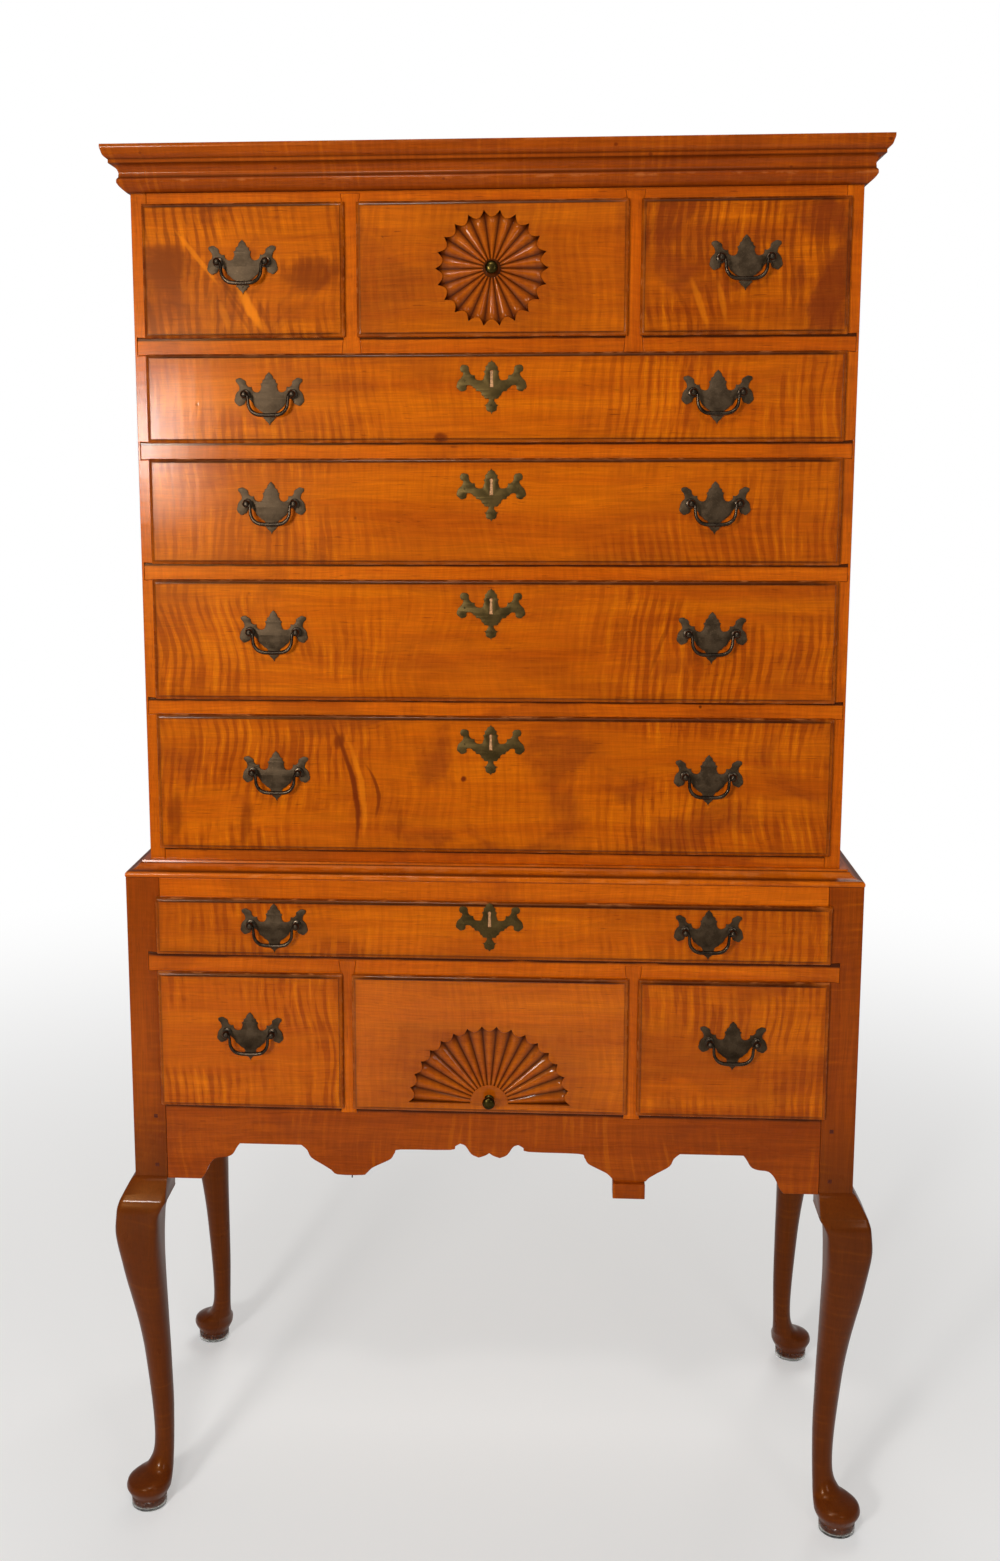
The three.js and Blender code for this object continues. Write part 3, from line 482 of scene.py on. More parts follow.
# Weight and roughness of the varnish on flat wood, and on the drawers whose carving hands rub
COAT = (0.13, 0.12)
CARVED_COAT = (0.24, 0.07)
VARNISHED_SPECULAR = 0.2
BARE_SPECULAR, BARE_ROUGHNESS = 0.25, 0.75
RUBBED_BARE = 0.6
# The legs darken downward between two levels, in metres
LEG_SHADE = (0.050, 0.012, 0.002)
LEG_SHADE_LEVELS = (0.66, 0.44)
LEG_SHADE_MOST = 0.72
# Wide drawers are figured from the first distance from the middle to the second, in metres
FIGURED_ENDS = (0.06, 0.24)
# Which axes of the frame run along the grain, across the face and inward
GRAIN_AXES = {"x": (0, 2, 1), "z": (2, 0, 1), "y": (1, 2, 0)}


def spread(seed):
    """A fixed shift of the wood's pattern for each seed."""
    return (seed * 3.17 % 11.0, seed * 1.73 % 7.0, seed * 2.41 % 5.0)


def edge_shade_and_grime(net, parts, moved, edges):
    """Painted shade and grime near the edges of a face: limits along axes, how far it reaches and its
    strength.
    """
    limits, reach, strength = edges
    nearest = None
    for axis, low, high in limits:
        for gap in (
            net.math("SUBTRACT", parts[axis], low * MM),
            net.math("SUBTRACT", high * MM, parts[axis]),
        ):
            nearest = gap if nearest is None else net.math("MINIMUM", nearest, gap)
    broken = net.noise(moved, (24.0, 60.0, 60.0), detail=3.0)
    amount = net.band(broken, 0.3, 0.62, 0.45, 1.0)
    near = net.band(nearest, 0.0, reach * MM, strength, 0.0)
    return net.times(near, amount)


def mark(x, z, lean, width, length, strength, tint=DARK_STREAK, bend=0.0):
    """A scar, knot or streak: its place, lean, half its width and length, and how strong it is."""
    return x, z, lean, width, length, strength, tint, bend


def streak(net, parts, moved, drawn):
    """How strongly a mark shows, and its colour."""
    x, z, lean, width, length, strength, tint, bend = drawn
    up = net.math("SUBTRACT", parts[2], z * MM)
    line = net.math("MULTIPLY_ADD", up, lean, x * MM)
    line = net.math("MULTIPLY_ADD", net.times(up, up), bend / MM, line)
    ragged = net.noise(moved, (70.0, 45.0, 45.0), detail=3.0)
    ragged = net.times(net.math("SUBTRACT", ragged, 0.5), 1.1 * width * MM)
    away = net.math("ADD", net.math("SUBTRACT", parts[0], line), ragged)
    away = net.math("POWER", net.times(away, 1 / (width * MM)), 2.0)
    beyond = net.math("POWER", net.times(up, 1 / (length * MM)), 2.0)
    near = net.band(net.math("ADD", away, beyond), 1.0, 0.1)
    return net.times(near, strength), tint


def wood(name, grain, seed, kind, ends=False, edges=None, marks=(), coat=COAT):
    """Maple for one piece, with its grain along an axis of the frame. INSIDE has no varnish."""
    material, net, surface = new_material(name)
    parts = net.add("SeparateXYZ", {0: net.place()}).outputs
    turned = net.add("CombineXYZ", {k: parts[axis] for k, axis in enumerate(GRAIN_AXES[grain])})
    moved = net.vector("ADD", turned.outputs[0], spread(seed))
    figure = net.add("Group", {"Vector": moved, **kind, "Ends": 1.0}, node_tree=MAPLE)
    if ends:
        net.put(figure.inputs["Ends"], net.band(net.math("ABSOLUTE", parts[0]), *FIGURED_ENDS))
    color = figure.outputs["Color"]
    for drawn in marks:
        amount, tint = streak(net, parts, moved, drawn)
        color = net.blend(amount, color, tint)
    if kind is POSTS:
        shaded = net.band(parts[2], *LEG_SHADE_LEVELS, 0.0, LEG_SHADE_MOST)
        color = net.blend(shaded, color, LEG_SHADE)
    # Painted shade near the given edges and where the mesh carries dirt_and_shade values, with some grime
    if edges:
        color = net.blend(edge_shade_and_grime(net, parts, moved, edges), color, SHADE_AND_GRIME)
    color = net.blend(net.painted("dirt_and_shade"), color, SHADE_AND_GRIME)
    wear = net.painted("wear")
    broken = net.noise(moved, (40.0, 110.0, 110.0), detail=3.0, roughness=0.6)
    bare = net.times(wear, net.band(broken, 0.5, 0.64))
    color = net.blend(net.times(bare, RUBBED_BARE), color, BARE)
    net.put(surface.inputs["Base Color"], color)
    normal = net.relief(surface, figure.outputs["Height"])
    if kind is INSIDE:
        surface.inputs["Roughness"].default_value = BARE_ROUGHNESS
        surface.inputs["Specular IOR Level"].default_value = BARE_SPECULAR
        return material
    net.put(surface.inputs["Roughness"], figure.outputs["Roughness"])
    net.put(surface.inputs["Coat Normal"], normal)
    surface.inputs["Specular IOR Level"].default_value = VARNISHED_SPECULAR
    surface.inputs["Specular Tint"].default_value = (*VARNISH_TINT, 1)
    surface.inputs["Coat Weight"].default_value = coat[0]
    surface.inputs["Coat Roughness"].default_value = coat[1]
    return material


# Brass, plastic and small things
BRASS_GRIME = (0.014, 0.009, 0.006)
RUBBED = (0.050, 0.036, 0.024)
CLEAR_TINT = (0.93, 0.93, 0.9)
SCUFFED_TINT = (0.78, 0.77, 0.72)
PLASTIC_IOR = 1.49
# Relief in metres
BRASS_RELIEF = 0.00003
END_GRAIN_RELIEF = 0.00004
# Lighter spots of brass and darker rings of end grain, as shares of the colour
BRASS_LIGHTER = 1.9
RING_DARKER = 0.45
# How much brass smooths where it is rubbed, and how far its dullness varies
RUBBED_SMOOTHER = -0.2
DULLNESS_RANGE = 0.14
GRIME_ON_BRASS = 0.75
END_GRAIN_SPECULAR = 0.15


def brass_material(name, dark, middle, dullness):
    """Old brass with a brown skin, polished by hands where it is worn."""
    material, net, surface = new_material(name)
    place = net.place()
    patina = net.noise(place, 70.0, detail=5.0, roughness=0.6)
    fine = net.noise(place, 700.0)
    color = net.blend(net.band(patina, 0.36, 0.64), dark, middle)
    light = tuple(BRASS_LIGHTER * value for value in middle)
    color = net.blend(net.band(fine, 0.55, 0.75, 0.0, 0.35), color, light)
    worn = net.painted("wear")
    color = net.blend(worn, color, RUBBED)
    color = net.blend(net.times(net.painted("dirt_and_shade"), GRIME_ON_BRASS), color, BRASS_GRIME)
    net.put(surface.inputs["Base Color"], color)
    surface.inputs["Metallic"].default_value = 1.0
    dull = net.band(patina, 0.3, 0.7, dullness, dullness + DULLNESS_RANGE)
    net.put(surface.inputs["Roughness"], net.math("MULTIPLY_ADD", worn, RUBBED_SMOOTHER, dull))
    net.relief(surface, net.times(patina, BRASS_RELIEF))
    return material


def plastic_material():
    material, net, surface = new_material("clear_cup")
    scuffs = net.noise(net.place(), 160.0, detail=4.0)
    color = net.blend(net.band(scuffs, 0.4, 0.7), CLEAR_TINT, SCUFFED_TINT)
    net.put(surface.inputs["Base Color"], color)
    net.put(surface.inputs["Roughness"], net.band(scuffs, 0.4, 0.75, 0.06, 0.35))
    surface.inputs["Transmission Weight"].default_value = 1.0
    surface.inputs["IOR"].default_value = PLASTIC_IOR
    return material


def grainy_material(name, color):
    """End grain, bare wood or rust on a small piece."""
    material, net, surface = new_material(name)
    rings = net.noise(net.place(), 700.0, detail=3.0)
    darker = tuple(value * RING_DARKER for value in color)
    net.put(surface.inputs["Base Color"], net.blend(net.band(rings, 0.35, 0.65), darker, color))
    net.put(surface.inputs["Roughness"], net.band(rings, 0.3, 0.7, 0.4, 0.65))
    surface.inputs["Specular IOR Level"].default_value = END_GRAIN_SPECULAR
    net.relief(surface, net.times(rings, END_GRAIN_RELIEF))
    return material


BRASS = brass_material("old_brass", (0.042, 0.027, 0.015), (0.075, 0.049, 0.028), 0.42)
KEY_BRASS = brass_material("green_brass", (0.054, 0.034, 0.008), (0.087, 0.053, 0.014), 0.4)
KNOB_BRASS = brass_material("knob_brass", (0.028, 0.019, 0.004), (0.050, 0.034, 0.008), 0.2)
RUBBED_BRASS = brass_material("rubbed_brass", (0.034, 0.023, 0.015), (0.060, 0.042, 0.027), 0.2)
CLEAR = plastic_material()
PEG_WOOD = grainy_material("peg_end_grain", (0.10, 0.016, 0.004))
BARE_WOOD = grainy_material("bare_wood", (0.60, 0.30, 0.13))
IRON = grainy_material("nail_iron", (0.05, 0.04, 0.035))


# Lips and fronts of drawers
EDGE_STEP = 14.0
CORNER_STEPS = 4
BODY_CORNER = 0.1
# Rows of the body behind a lip: y from the case's face, and dirt with painted shade in the crevice
BODY_ROWS = ((FRONT_BEHIND, 0.0), (-FIT, 0.8))
LIP_CORNER = 1.6
LEAST_CORNER = 0.3
CORNER_SHRINK = 0.25
THUMB_WIDTH = 5.0
THUMB_EDGE = 3.2
FIELD_STEP = 1.4
# Rows of a lip before and after its rounding: inset, how far out of the case, dirt with painted shade in
# its crevices, and wear
EDGE_ROWS = [(0.0, 0.0, 1.0, 0.0), (0.0, THUMB_EDGE / 2, 0.9, 0.0), (0.0, THUMB_EDGE, 0.6, 0.3)]
FIELD_ROWS = [
    (THUMB_WIDTH, LIP_PROUD - 0.25, 1.0, 0.0), (THUMB_WIDTH + 0.3, LIP_PROUD, 0.35, 0.1),
    (THUMB_WIDTH + 1.8, LIP_PROUD, 0.0, 0.0),
]
# Wear of the rounding's rows, and its dirt with painted shade at the first and how much it grows to the
# last
THUMB_WEAR = (0.7, 0.7, 0.7, 0.1, 0.1, 0.1, 0.1)
THUMB_SHADE_AND_DIRT = (0.4, 0.55)
# Worn places: how long they are, and how deep beside the rounding compared with on it
WEAR_LENGTH = 38.0
WEAR_BESIDE = 0.3
# Painted shade on a lip's upper moulding, and how much lighter its upper edge, lower side and sides are
# painted, as if lit
SHADE_ABOVE = 0.3
SHADE_REACH = THUMB_WIDTH + 1.0
PAINTED_LIT = {"top_edge": 0.9, "below": 0.6, "left": 0.35, "right": 0.65}
PAINTED_LIT_BLEND = 4.0


def rounded_rectangle(xs, zs, radius, counts):
    """Points round a rectangle, with equally many on each edge whatever its size."""
    left, right = xs[0] + radius, xs[1] - radius
    low, high = zs[0] + radius, zs[1] - radius
    turns = []
    for k, centre in enumerate([(right, low), (right, high), (left, high), (left, low)]):
        turns.append(arc(radius, 90.0 * (k - 1), 90.0 * k, CORNER_STEPS, centre))
    points = []
    for k, turn in enumerate(turns):
        points += turn
        (x, z), (next_x, next_z) = turn[-1], turns[(k + 1) % 4][0]
        count = counts[1 - k % 2]
        for step in range(1, count):
            share = step / count
            points.append((x + share * (next_x - x), z + share * (next_z - z)))
    return points


def lip_rows():
    """Rows of a lip from its back to the field: inset, how far out of the case, dirt with painted shade,
    and wear.
    """
    height = LIP_PROUD - FIELD_STEP - THUMB_EDGE
    steps = len(THUMB_WEAR)
    rows = []
    for step, worn in enumerate(THUMB_WEAR, 1):
        angle = math.pi / 2 * step / steps
        dirt_and_shade = THUMB_SHADE_AND_DIRT[0] + THUMB_SHADE_AND_DIRT[1] * (step / steps) ** 3
        rise = THUMB_EDGE + height * math.sin(angle)
        rows.append((THUMB_WIDTH * (1 - math.cos(angle)), rise, dirt_and_shade, worn))
    return EDGE_ROWS + rows + FIELD_ROWS


def past(distance):
    """Grows from 0 to 1 while a point passes the edge of a drawer's body."""
    return max(0.0, min(1.0, distance / PAINTED_LIT_BLEND + 0.5))


def lip_shade_and_dirt(point, body, dirt_and_shade, inset):
    """The dirt and painted shade of a point of a lip: painted shade on its upper moulding, and a lighter
    upper edge, lower side and sides, painted as lit.
    """
    (x0, x1), (z0, z1) = body
    above = past(point[2] - z1)
    if inset == 0.0:
        dirt_and_shade *= 1 - PAINTED_LIT["top_edge"] * above
    elif 0.0 < inset < SHADE_REACH:
        dirt_and_shade = min(1.0, dirt_and_shade + SHADE_ABOVE * above)
    dirt_and_shade *= 1 - PAINTED_LIT["below"] * past(z0 - point[2])
    dirt_and_shade *= 1 - PAINTED_LIT["left"] * past(x0 - point[0])
    return dirt_and_shade * (1 - PAINTED_LIT["right"] * past(point[0] - x1))


def lip_ring(lips, counts, inset, depth, seed, rough):
    """A row of a lip, with worn places in its edge. Depth is y in the frame."""
    xs, zs = [(low + inset, high - inset) for low, high in lips]
    corner = max(LEAST_CORNER, LIP_CORNER - inset * CORNER_SHRINK)
    ring = []
    for x, z in rounded_rectangle(xs, zs, corner, counts):
        worn = noise.noise(Vector((x / WEAR_LENGTH + seed, z / WEAR_LENGTH, seed))) * rough
        if not 0.0 < inset < THUMB_WIDTH:
            worn *= WEAR_BESIDE
        ring.append((x, depth + (max(0.0, worn) if inset < THUMB_WIDTH else 0.0), z))
    return ring


def front_mesh(name, lips, body, face, seed, rough, carve):
    """A drawer's front from the back of its body to its field, which is flat or has a carving."""
    counts = [max(2, round((high - low) / EDGE_STEP)) for low, high in lips]
    inner = rounded_rectangle(*body, BODY_CORNER, counts)
    rows = [([(x, face + y, z) for x, z in inner], -1.0, darkness, 0.0) for y, darkness in BODY_ROWS]
    for inset, out, darkness, worn in lip_rows():
        ring = lip_ring(lips, counts, inset, face - FIT - out, seed, rough)
        rows.append((ring, inset, darkness, worn))
    # Dirt values with painted shade in the lip's crevices and on its upper moulding, lighter where painted
    # as lit
    points, dirt_and_shade, wear = [], [], []
    for ring, inset, darkness, worn in rows:
        points += ring
        dirt_and_shade += [lip_shade_and_dirt(point, body, darkness, inset) for point in ring]
        wear += [worn] * len(ring)
    size = len(inner)
    faces = [tuple(range(size))[::-1]] + faces_between(len(rows), size)
    outer = list(range(len(points) - size, len(points)))
    if carve:
        more_points, more_dirt_and_shade, more_faces, hole = carve(face - FIT - LIP_PROUD, len(points))
        points += more_points
        dirt_and_shade += more_dirt_and_shade
        wear += [0.0] * len(more_points)
        faces += more_faces + field_with_hole(points, outer, hole)
    else:
        faces.append(tuple(outer))
    mesh = mesh_in_metres(name, points, faces)
    set_values(mesh, "dirt_and_shade", dirt_and_shade)
    set_values(mesh, "wear", wear)
    return cleaned(mesh, merge=False)


def field_with_hole(points, outer, hole):
    """Triangles between an outer loop and a hole, both lists of indices into points."""
    loops = [[Vector((points[k][0], points[k][2], 0.0)) for k in loop] for loop in (outer, hole)]
    order = outer + hole
    return [tuple(order[k] for k in triangle) for triangle in tessellate_polygon(loops)]


# Carving: crests and grooves have their depth at the hub and at the rim
LOBE_STEPS = 12
WHEEL = {
    "lobes": 22, "sweep": 2 * math.pi, "radius": 70.5, "hub": 11.6, "bite": 8.5,
    "crest": (0.9, 3.0), "groove": (3.0, 6.8), "z": 1695.5,
}
FAN = {
    "lobes": 17, "sweep": math.pi, "radius": 107.0, "hub": 25.5, "bite": 6.5,
    "crest": (0.5, 2.6), "groove": (2.4, 6.0), "z": 611.0,
}
WHEEL_FLOOR = 2.4
WHEEL_FLOOR_RADIUS = 6.0
FAN_BELOW = 0.8
RAY_ROWS = [0, 0.02, 0.06, 0.12, 0.2, 0.3, 0.4, 0.5, 0.6, 0.7, 0.8, 0.86, 0.9, 0.94, 0.97, 0.99, 1]
SCOOP_START = 0.84
SCOOP_EDGE = 0.5
WALL_LEAN = 0.5
HUB_GROOVE = {"wheel": 0.4, "fan": 0.3}
# Powers that round the lobes at the rim, the grooves, and the painted shade and dirt in them and at the rim
LOBE_POWER, GROOVE_POWER, GROOVE_SHADE_POWER, RIM_POWER = 2.2, 1.8, 1.9, 10
# Painted shade and dirt on the crests, and how much more in the grooves and at the rim; the same on the
# rim's wall, the wheel's floor, the fan's hub and the line below the fan
RAY_SHADE_AND_DIRT = (0.22, 0.76, 0.25)
WALL_SHADE_AND_DIRT, FLOOR_SHADE_AND_DIRT, HUB_SHADE_AND_DIRT, BELOW_SHADE_AND_DIRT = 0.25, 0.95, 0.3, 0.35


def around(carving, angle, radius, depth):
    """A point at an angle and radius from the middle of a carving. Depth is y in the frame."""
    return (radius * math.cos(angle), depth, carving["z"] + radius * math.sin(angle))


def between(ends, share):
    return ends[0] + (ends[1] - ends[0]) * share


def ray_depth(carving, across, share):
    """Depth of a ray: across is 0 on its crest and 1 in its groove, share grows to the rim."""
    # The end of each ray is scooped up to the field
    scoop = max(0.0, (share - SCOOP_START) / (1 - SCOOP_START))
    crest = between(carving["crest"], share)
    crest = SCOOP_EDGE + (crest - SCOOP_EDGE) * math.sqrt(1 - scoop * scoop)
    return crest + (between(carving["groove"], share) - crest) * across**GROOVE_POWER


def carved_rays(carving, field, start):
    """Points, dirt with painted shade, faces, rim and hub of a carving whose points begin at start."""
    columns = carving["lobes"] * LOBE_STEPS
    count = columns if carving is WHEEL else columns + 1
    rows = len(RAY_ROWS) + 1
    points, dirt_and_shade, faces = [], [], []
    for k in range(count):
        angle = carving["sweep"] * k / columns
        across = abs((k % LOBE_STEPS) / LOBE_STEPS * 2 - 1)
        rim = carving["radius"] - carving["bite"] * (1 - across**LOBE_POWER)
        for share in RAY_ROWS:
            radius = between((carving["hub"], rim), share)
            points.append(around(carving, angle, radius, field + ray_depth(carving, across, share)))
            darkness = RAY_SHADE_AND_DIRT[0] + RAY_SHADE_AND_DIRT[1] * across**GROOVE_SHADE_POWER + RAY_SHADE_AND_DIRT[2] * share**RIM_POWER
            dirt_and_shade.append(min(1.0, darkness))
        points.append(around(carving, angle, rim + WALL_LEAN, field))
        dirt_and_shade.append(WALL_SHADE_AND_DIRT)
    for k in range(columns):
        here, there = start + k * rows, start + (k + 1) % count * rows
        for row in range(rows - 1):
            faces.append((here + row, here + row + 1, there + row + 1, there + row))
    hub = [start + k * rows for k in range(count)]
    return points, dirt_and_shade, faces, [first + rows - 1 for first in hub], hub


def carved_wheel(field, start):
    """The pinwheel: its rays and a flat floor for the knob."""
    points, dirt_and_shade, faces, rim, hub = carved_rays(WHEEL, field, start)
    count = len(hub)
    first = start + len(points)
    for radius in (WHEEL["hub"] - HUB_GROOVE["wheel"], WHEEL_FLOOR_RADIUS):
        for k in range(count):
            points.append(around(WHEEL, 2 * math.pi * k / count, radius, field + WHEEL_FLOOR))
            dirt_and_shade.append(FLOOR_SHADE_AND_DIRT)
    for k in range(count):
        after = (k + 1) % count
        faces.append((hub[k], hub[after], first + after, first + k))
        faces.append((first + k, first + after, first + count + after, first + count + k))
    faces.append(tuple(range(first + count, first + 2 * count)))
    return points, dirt_and_shade, faces, rim


def carved_fan(field, start):
    """The half fan: its rays, closed against the line below them, and a hub level with the field."""
    points, dirt_and_shade, faces, rim, hub = carved_rays(FAN, field, start)
    count = len(hub)
    rows = len(RAY_ROWS) + 1
    hub_top = list(range(start + len(points), start + len(points) + count))
    for k in range(count):
        angle = math.pi * k / (count - 1)
        points.append(around(FAN, angle, FAN["hub"] - HUB_GROOVE["fan"], field))
        dirt_and_shade.append(HUB_SHADE_AND_DIRT)
    for k in range(count - 1):
        faces.append((hub_top[k], hub_top[k + 1], hub[k + 1], hub[k]))
    lines = []
    for k in (0, count - 1):
        line = list(range(start + len(points), start + len(points) + rows))
        for row in range(rows):
            points.append((points[k * rows + row][0], field, FAN["z"] - FAN_BELOW))
            dirt_and_shade.append(BELOW_SHADE_AND_DIRT)
        for row in range(rows - 1):
            above = hub[k] + row
            faces.append((above, above + 1, line[row + 1], line[row]))
        faces.append((hub_top[k], hub[k], line[0]))
        lines.append(line)
    right, left = lines
    # The hole goes over the rim to the left, back below the fan, and over the hub
    return points, dirt_and_shade, faces, rim + left[::-1] + hub_top[::-1] + right


# Boards and rails
BOARD_EDGE = 0.8
RUNNER_EDGE = 0.5
# A painted shadow line on each rail under the lip above it: height and strength
LIP_SHADOW = {"chest": 4.0, "base": 7.0}
LIP_SHADOW_STRENGTH = 2.4


def timber(name, shape, body, grain, seed, kind, replaced=(), bevel=BOARD_EDGE, top=None):
    """A piece of its own wood, whose seed picks its pattern. A rail gets a painted shadow under the lip
    over its top.
    """
    edges = top and ([(2, 0.0, top - LIP_OVER_RAIL)], LIP_SHADOW[body], LIP_SHADOW_STRENGTH)
    return piece(name, shape, body, wood(name, grain, seed, kind, edges=edges), replaced, bevel)


# Drawers
TAIL_COUNT_STEP = 45.0
TAIL_FLARE = 3.0
TAIL_NECK = 5.0
FLOOR_EDGE = 0.6
FLOOR_PLAY = 1.0
# How far painted shade reaches in from a front's field edges, beside the lips, and its strength
FRONT_EDGE_SHADE = (12.0, 0.15)
FACE = {"chest": CHEST_FRONT, "base": BASE_FRONT}
DEPTH = {"chest": 395.0, "base": 415.0}
CHEST_WIDE = (-442.5, 442.5)
BASE_WIDE = (-444.5, 444.5)
# Case, width and height of the lips; seed, figure and blotches; roughness of the lips' edges
DRAWERS = {
    "wide_1": ("chest", CHEST_WIDE, WIDE_ROWS[0], 3.0, 1.0, 0.55, 0.5),
    "wide_2": ("chest", CHEST_WIDE, WIDE_ROWS[1], 8.0, 1.0, 0.25, 0.2),
    "wide_3": ("chest", CHEST_WIDE, WIDE_ROWS[2], 11.0, 0.8, 0.2, 0.2),
    "wide_4": ("chest", CHEST_WIDE, WIDE_ROWS[3], 17.0, 0.95, 0.3, 0.3),
    "top_left": ("chest", (-442.5, -185.5), TOP_ROW, 23.0, 1.0, 1.0, 0.3),
    "top_centre": ("chest", (-170.5, 170.5), TOP_ROW, 29.0, 0.35, 0.35, 0.2),
    "top_right": ("chest", (185.5, 442.5), TOP_ROW, 31.0, 1.0, 0.8, 0.2),
    "shallow": ("base", BASE_WIDE, SHALLOW_ROW, 37.0, 0.9, 0.2, 0.5),
    "deep_left": ("base", (-444.5, -195.5), DEEP_ROW, 41.0, 1.0, 0.3, 0.3),
    "deep_centre": ("base", (-183.0, 183.0), DEEP_ROW, 43.0, 0.3, 0.2, 0.5),
    "deep_right": ("base", (195.5, 444.5), DEEP_ROW, 47.0, 0.9, 0.35, 0.9),
}
CARVED = {"top_centre": carved_wheel, "deep_centre": carved_fan}
# Scars, knots and streaks
FRONT_MARKS = {
    "wide_1": [
        mark(-179.0, 1030.0, -0.161, 5.0, 100.0, 0.95, bend=-0.0020),
        mark(-148.5, 1028.0, -0.166, 3.4, 44.0, 0.8, bend=-0.0079),
        mark(-199.0, 1095.0, 0.3, 11.0, 13.0, 0.8),
        mark(-170.0, 1035.0, -0.161, 5.0, 80.0, 0.45, LIGHT_STREAK, -0.0020),
        mark(-34.9, 1046.2, 0.0, 4.6, 5.0, 1.0),
        mark(-325.0, 985.0, 0.12, 9.0, 42.0, 0.55),
        mark(-420.0, 992.0, 0.05, 12.0, 44.0, 0.6),
        mark(-120.0, 985.0, 0.06, 5.0, 30.0, 0.45),
    ],
    "wide_2": [
        mark(218.0, 1225.0, 0.35, 4.0, 48.0, 0.5),
        mark(330.0, 1190.0, 0.1, 7.0, 30.0, 0.4),
    ],
    "wide_4": [mark(-65.0, 1487.5, 0.0, 11.0, 8.0, 0.9)],
    "top_left": [
        mark(-372.0, 1712.0, -0.80, 5.0, 40.0, 0.55, LIGHT_STREAK),
        mark(-330.0, 1668.0, -0.72, 3.0, 34.0, 0.4),
        mark(-306.0, 1650.0, -0.52, 9.0, 36.0, 0.8, LIGHT_STREAK),
        mark(-322.0, 1646.0, -0.60, 4.0, 32.0, 0.5),
        mark(-288.0, 1640.0, -0.40, 4.0, 26.0, 0.45),
        mark(-338.0, 1640.0, -0.30, 6.0, 20.0, 0.3, LIGHT_STREAK),
        mark(-405.0, 1706.0, 0.0, 34.0, 30.0, 0.75),
        mark(-225.0, 1690.0, 0.3, 40.0, 26.0, 0.65),
        mark(-428.0, 1650.0, 0.0, 16.0, 40.0, 0.4),
    ],
    "top_right": [
        mark(258.0, 1652.0, -0.36, 6.0, 34.0, 0.4, LIGHT_STREAK),
        mark(240.0, 1648.0, -0.45, 4.0, 30.0, 0.35),
        mark(272.0, 1650.0, -0.30, 4.0, 32.0, 0.4),
        mark(286.0, 1654.0, -0.22, 5.0, 30.0, 0.35, LIGHT_STREAK),
        mark(420.0, 1660.0, 0.0, 26.0, 50.0, 0.3),
    ],
}


def tail_levels(low, high):
    """Lowest and highest level of each dovetail on a drawer's side."""
    count = max(2, round((high - low) / TAIL_COUNT_STEP))
    pitch = (high - low) / count
    return [(low + pitch * k + TAIL_NECK, low + pitch * (k + 1) - TAIL_NECK) for k in range(count)]


def side_outline(front, back, low, high, tails):
    """A drawer side seen from beside it, in y and z, with tails at both ends."""
    near, far = front + DRAWER_WALL, back - DRAWER_WALL
    outline = [(near, low)]
    for a, b in tails:
        outline += [(near, a), (front, a - TAIL_FLARE), (front, b + TAIL_FLARE), (near, b)]
    outline += [(near, high), (far, high)]
    for a, b in reversed(tails):
        outline += [(far, b), (back, b + TAIL_FLARE), (back, a - TAIL_FLARE), (far, a)]
    return outline + [(far, low)]


def pin_shapes(xs, wide, narrow, low, high, tails):
    """The pins between a side's tails, as prisms between the planes where they are wide and narrow."""
    edges = [(low, low), *tails, (high, high)]
    shapes = []
    for k, ((_, bottom), (top, _)) in enumerate(zip(edges, edges[1:])):
        narrow_bottom = bottom + (TAIL_FLARE if k > 0 else 0.0)
        narrow_top = top - (TAIL_FLARE if k < len(tails) else 0.0)
        outline = [(wide, bottom), (narrow, narrow_bottom), (narrow, narrow_top), (wide, top)]
        shapes.append(prism(outline, "x", *xs))
    return shapes


def add_front(name, body, space):
    """The lipped front of a drawer; gives back its wood."""
    case, lip_xs, row, seed, figure, blotch, rough = DRAWERS[name]
    kind = {**FIGURED, "Figure": figure, "Blotch": blotch}
    if name in ("top_left", "top_right"):
        kind.update(BROWNER)
    lips = (lip_xs, row)
    limits = [(axis, a + THUMB_WIDTH, b - THUMB_WIDTH) for axis, (a, b) in zip((0, 2), lips)]
    edges = (limits, *FRONT_EDGE_SHADE)
    label = "front_" + name
    wide = name.startswith(("wide", "shallow"))
    coat = CARVED_COAT if name in CARVED else COAT
    made = wood(label, "x", seed, kind, wide, edges, FRONT_MARKS.get(name, ()), coat)
    mesh = front_mesh(label, lips, space, FACE[case], seed, rough, CARVED.get(name))
    finished(put_in_scene(label, mesh), body, made, ["drawer_" + name])
    return made


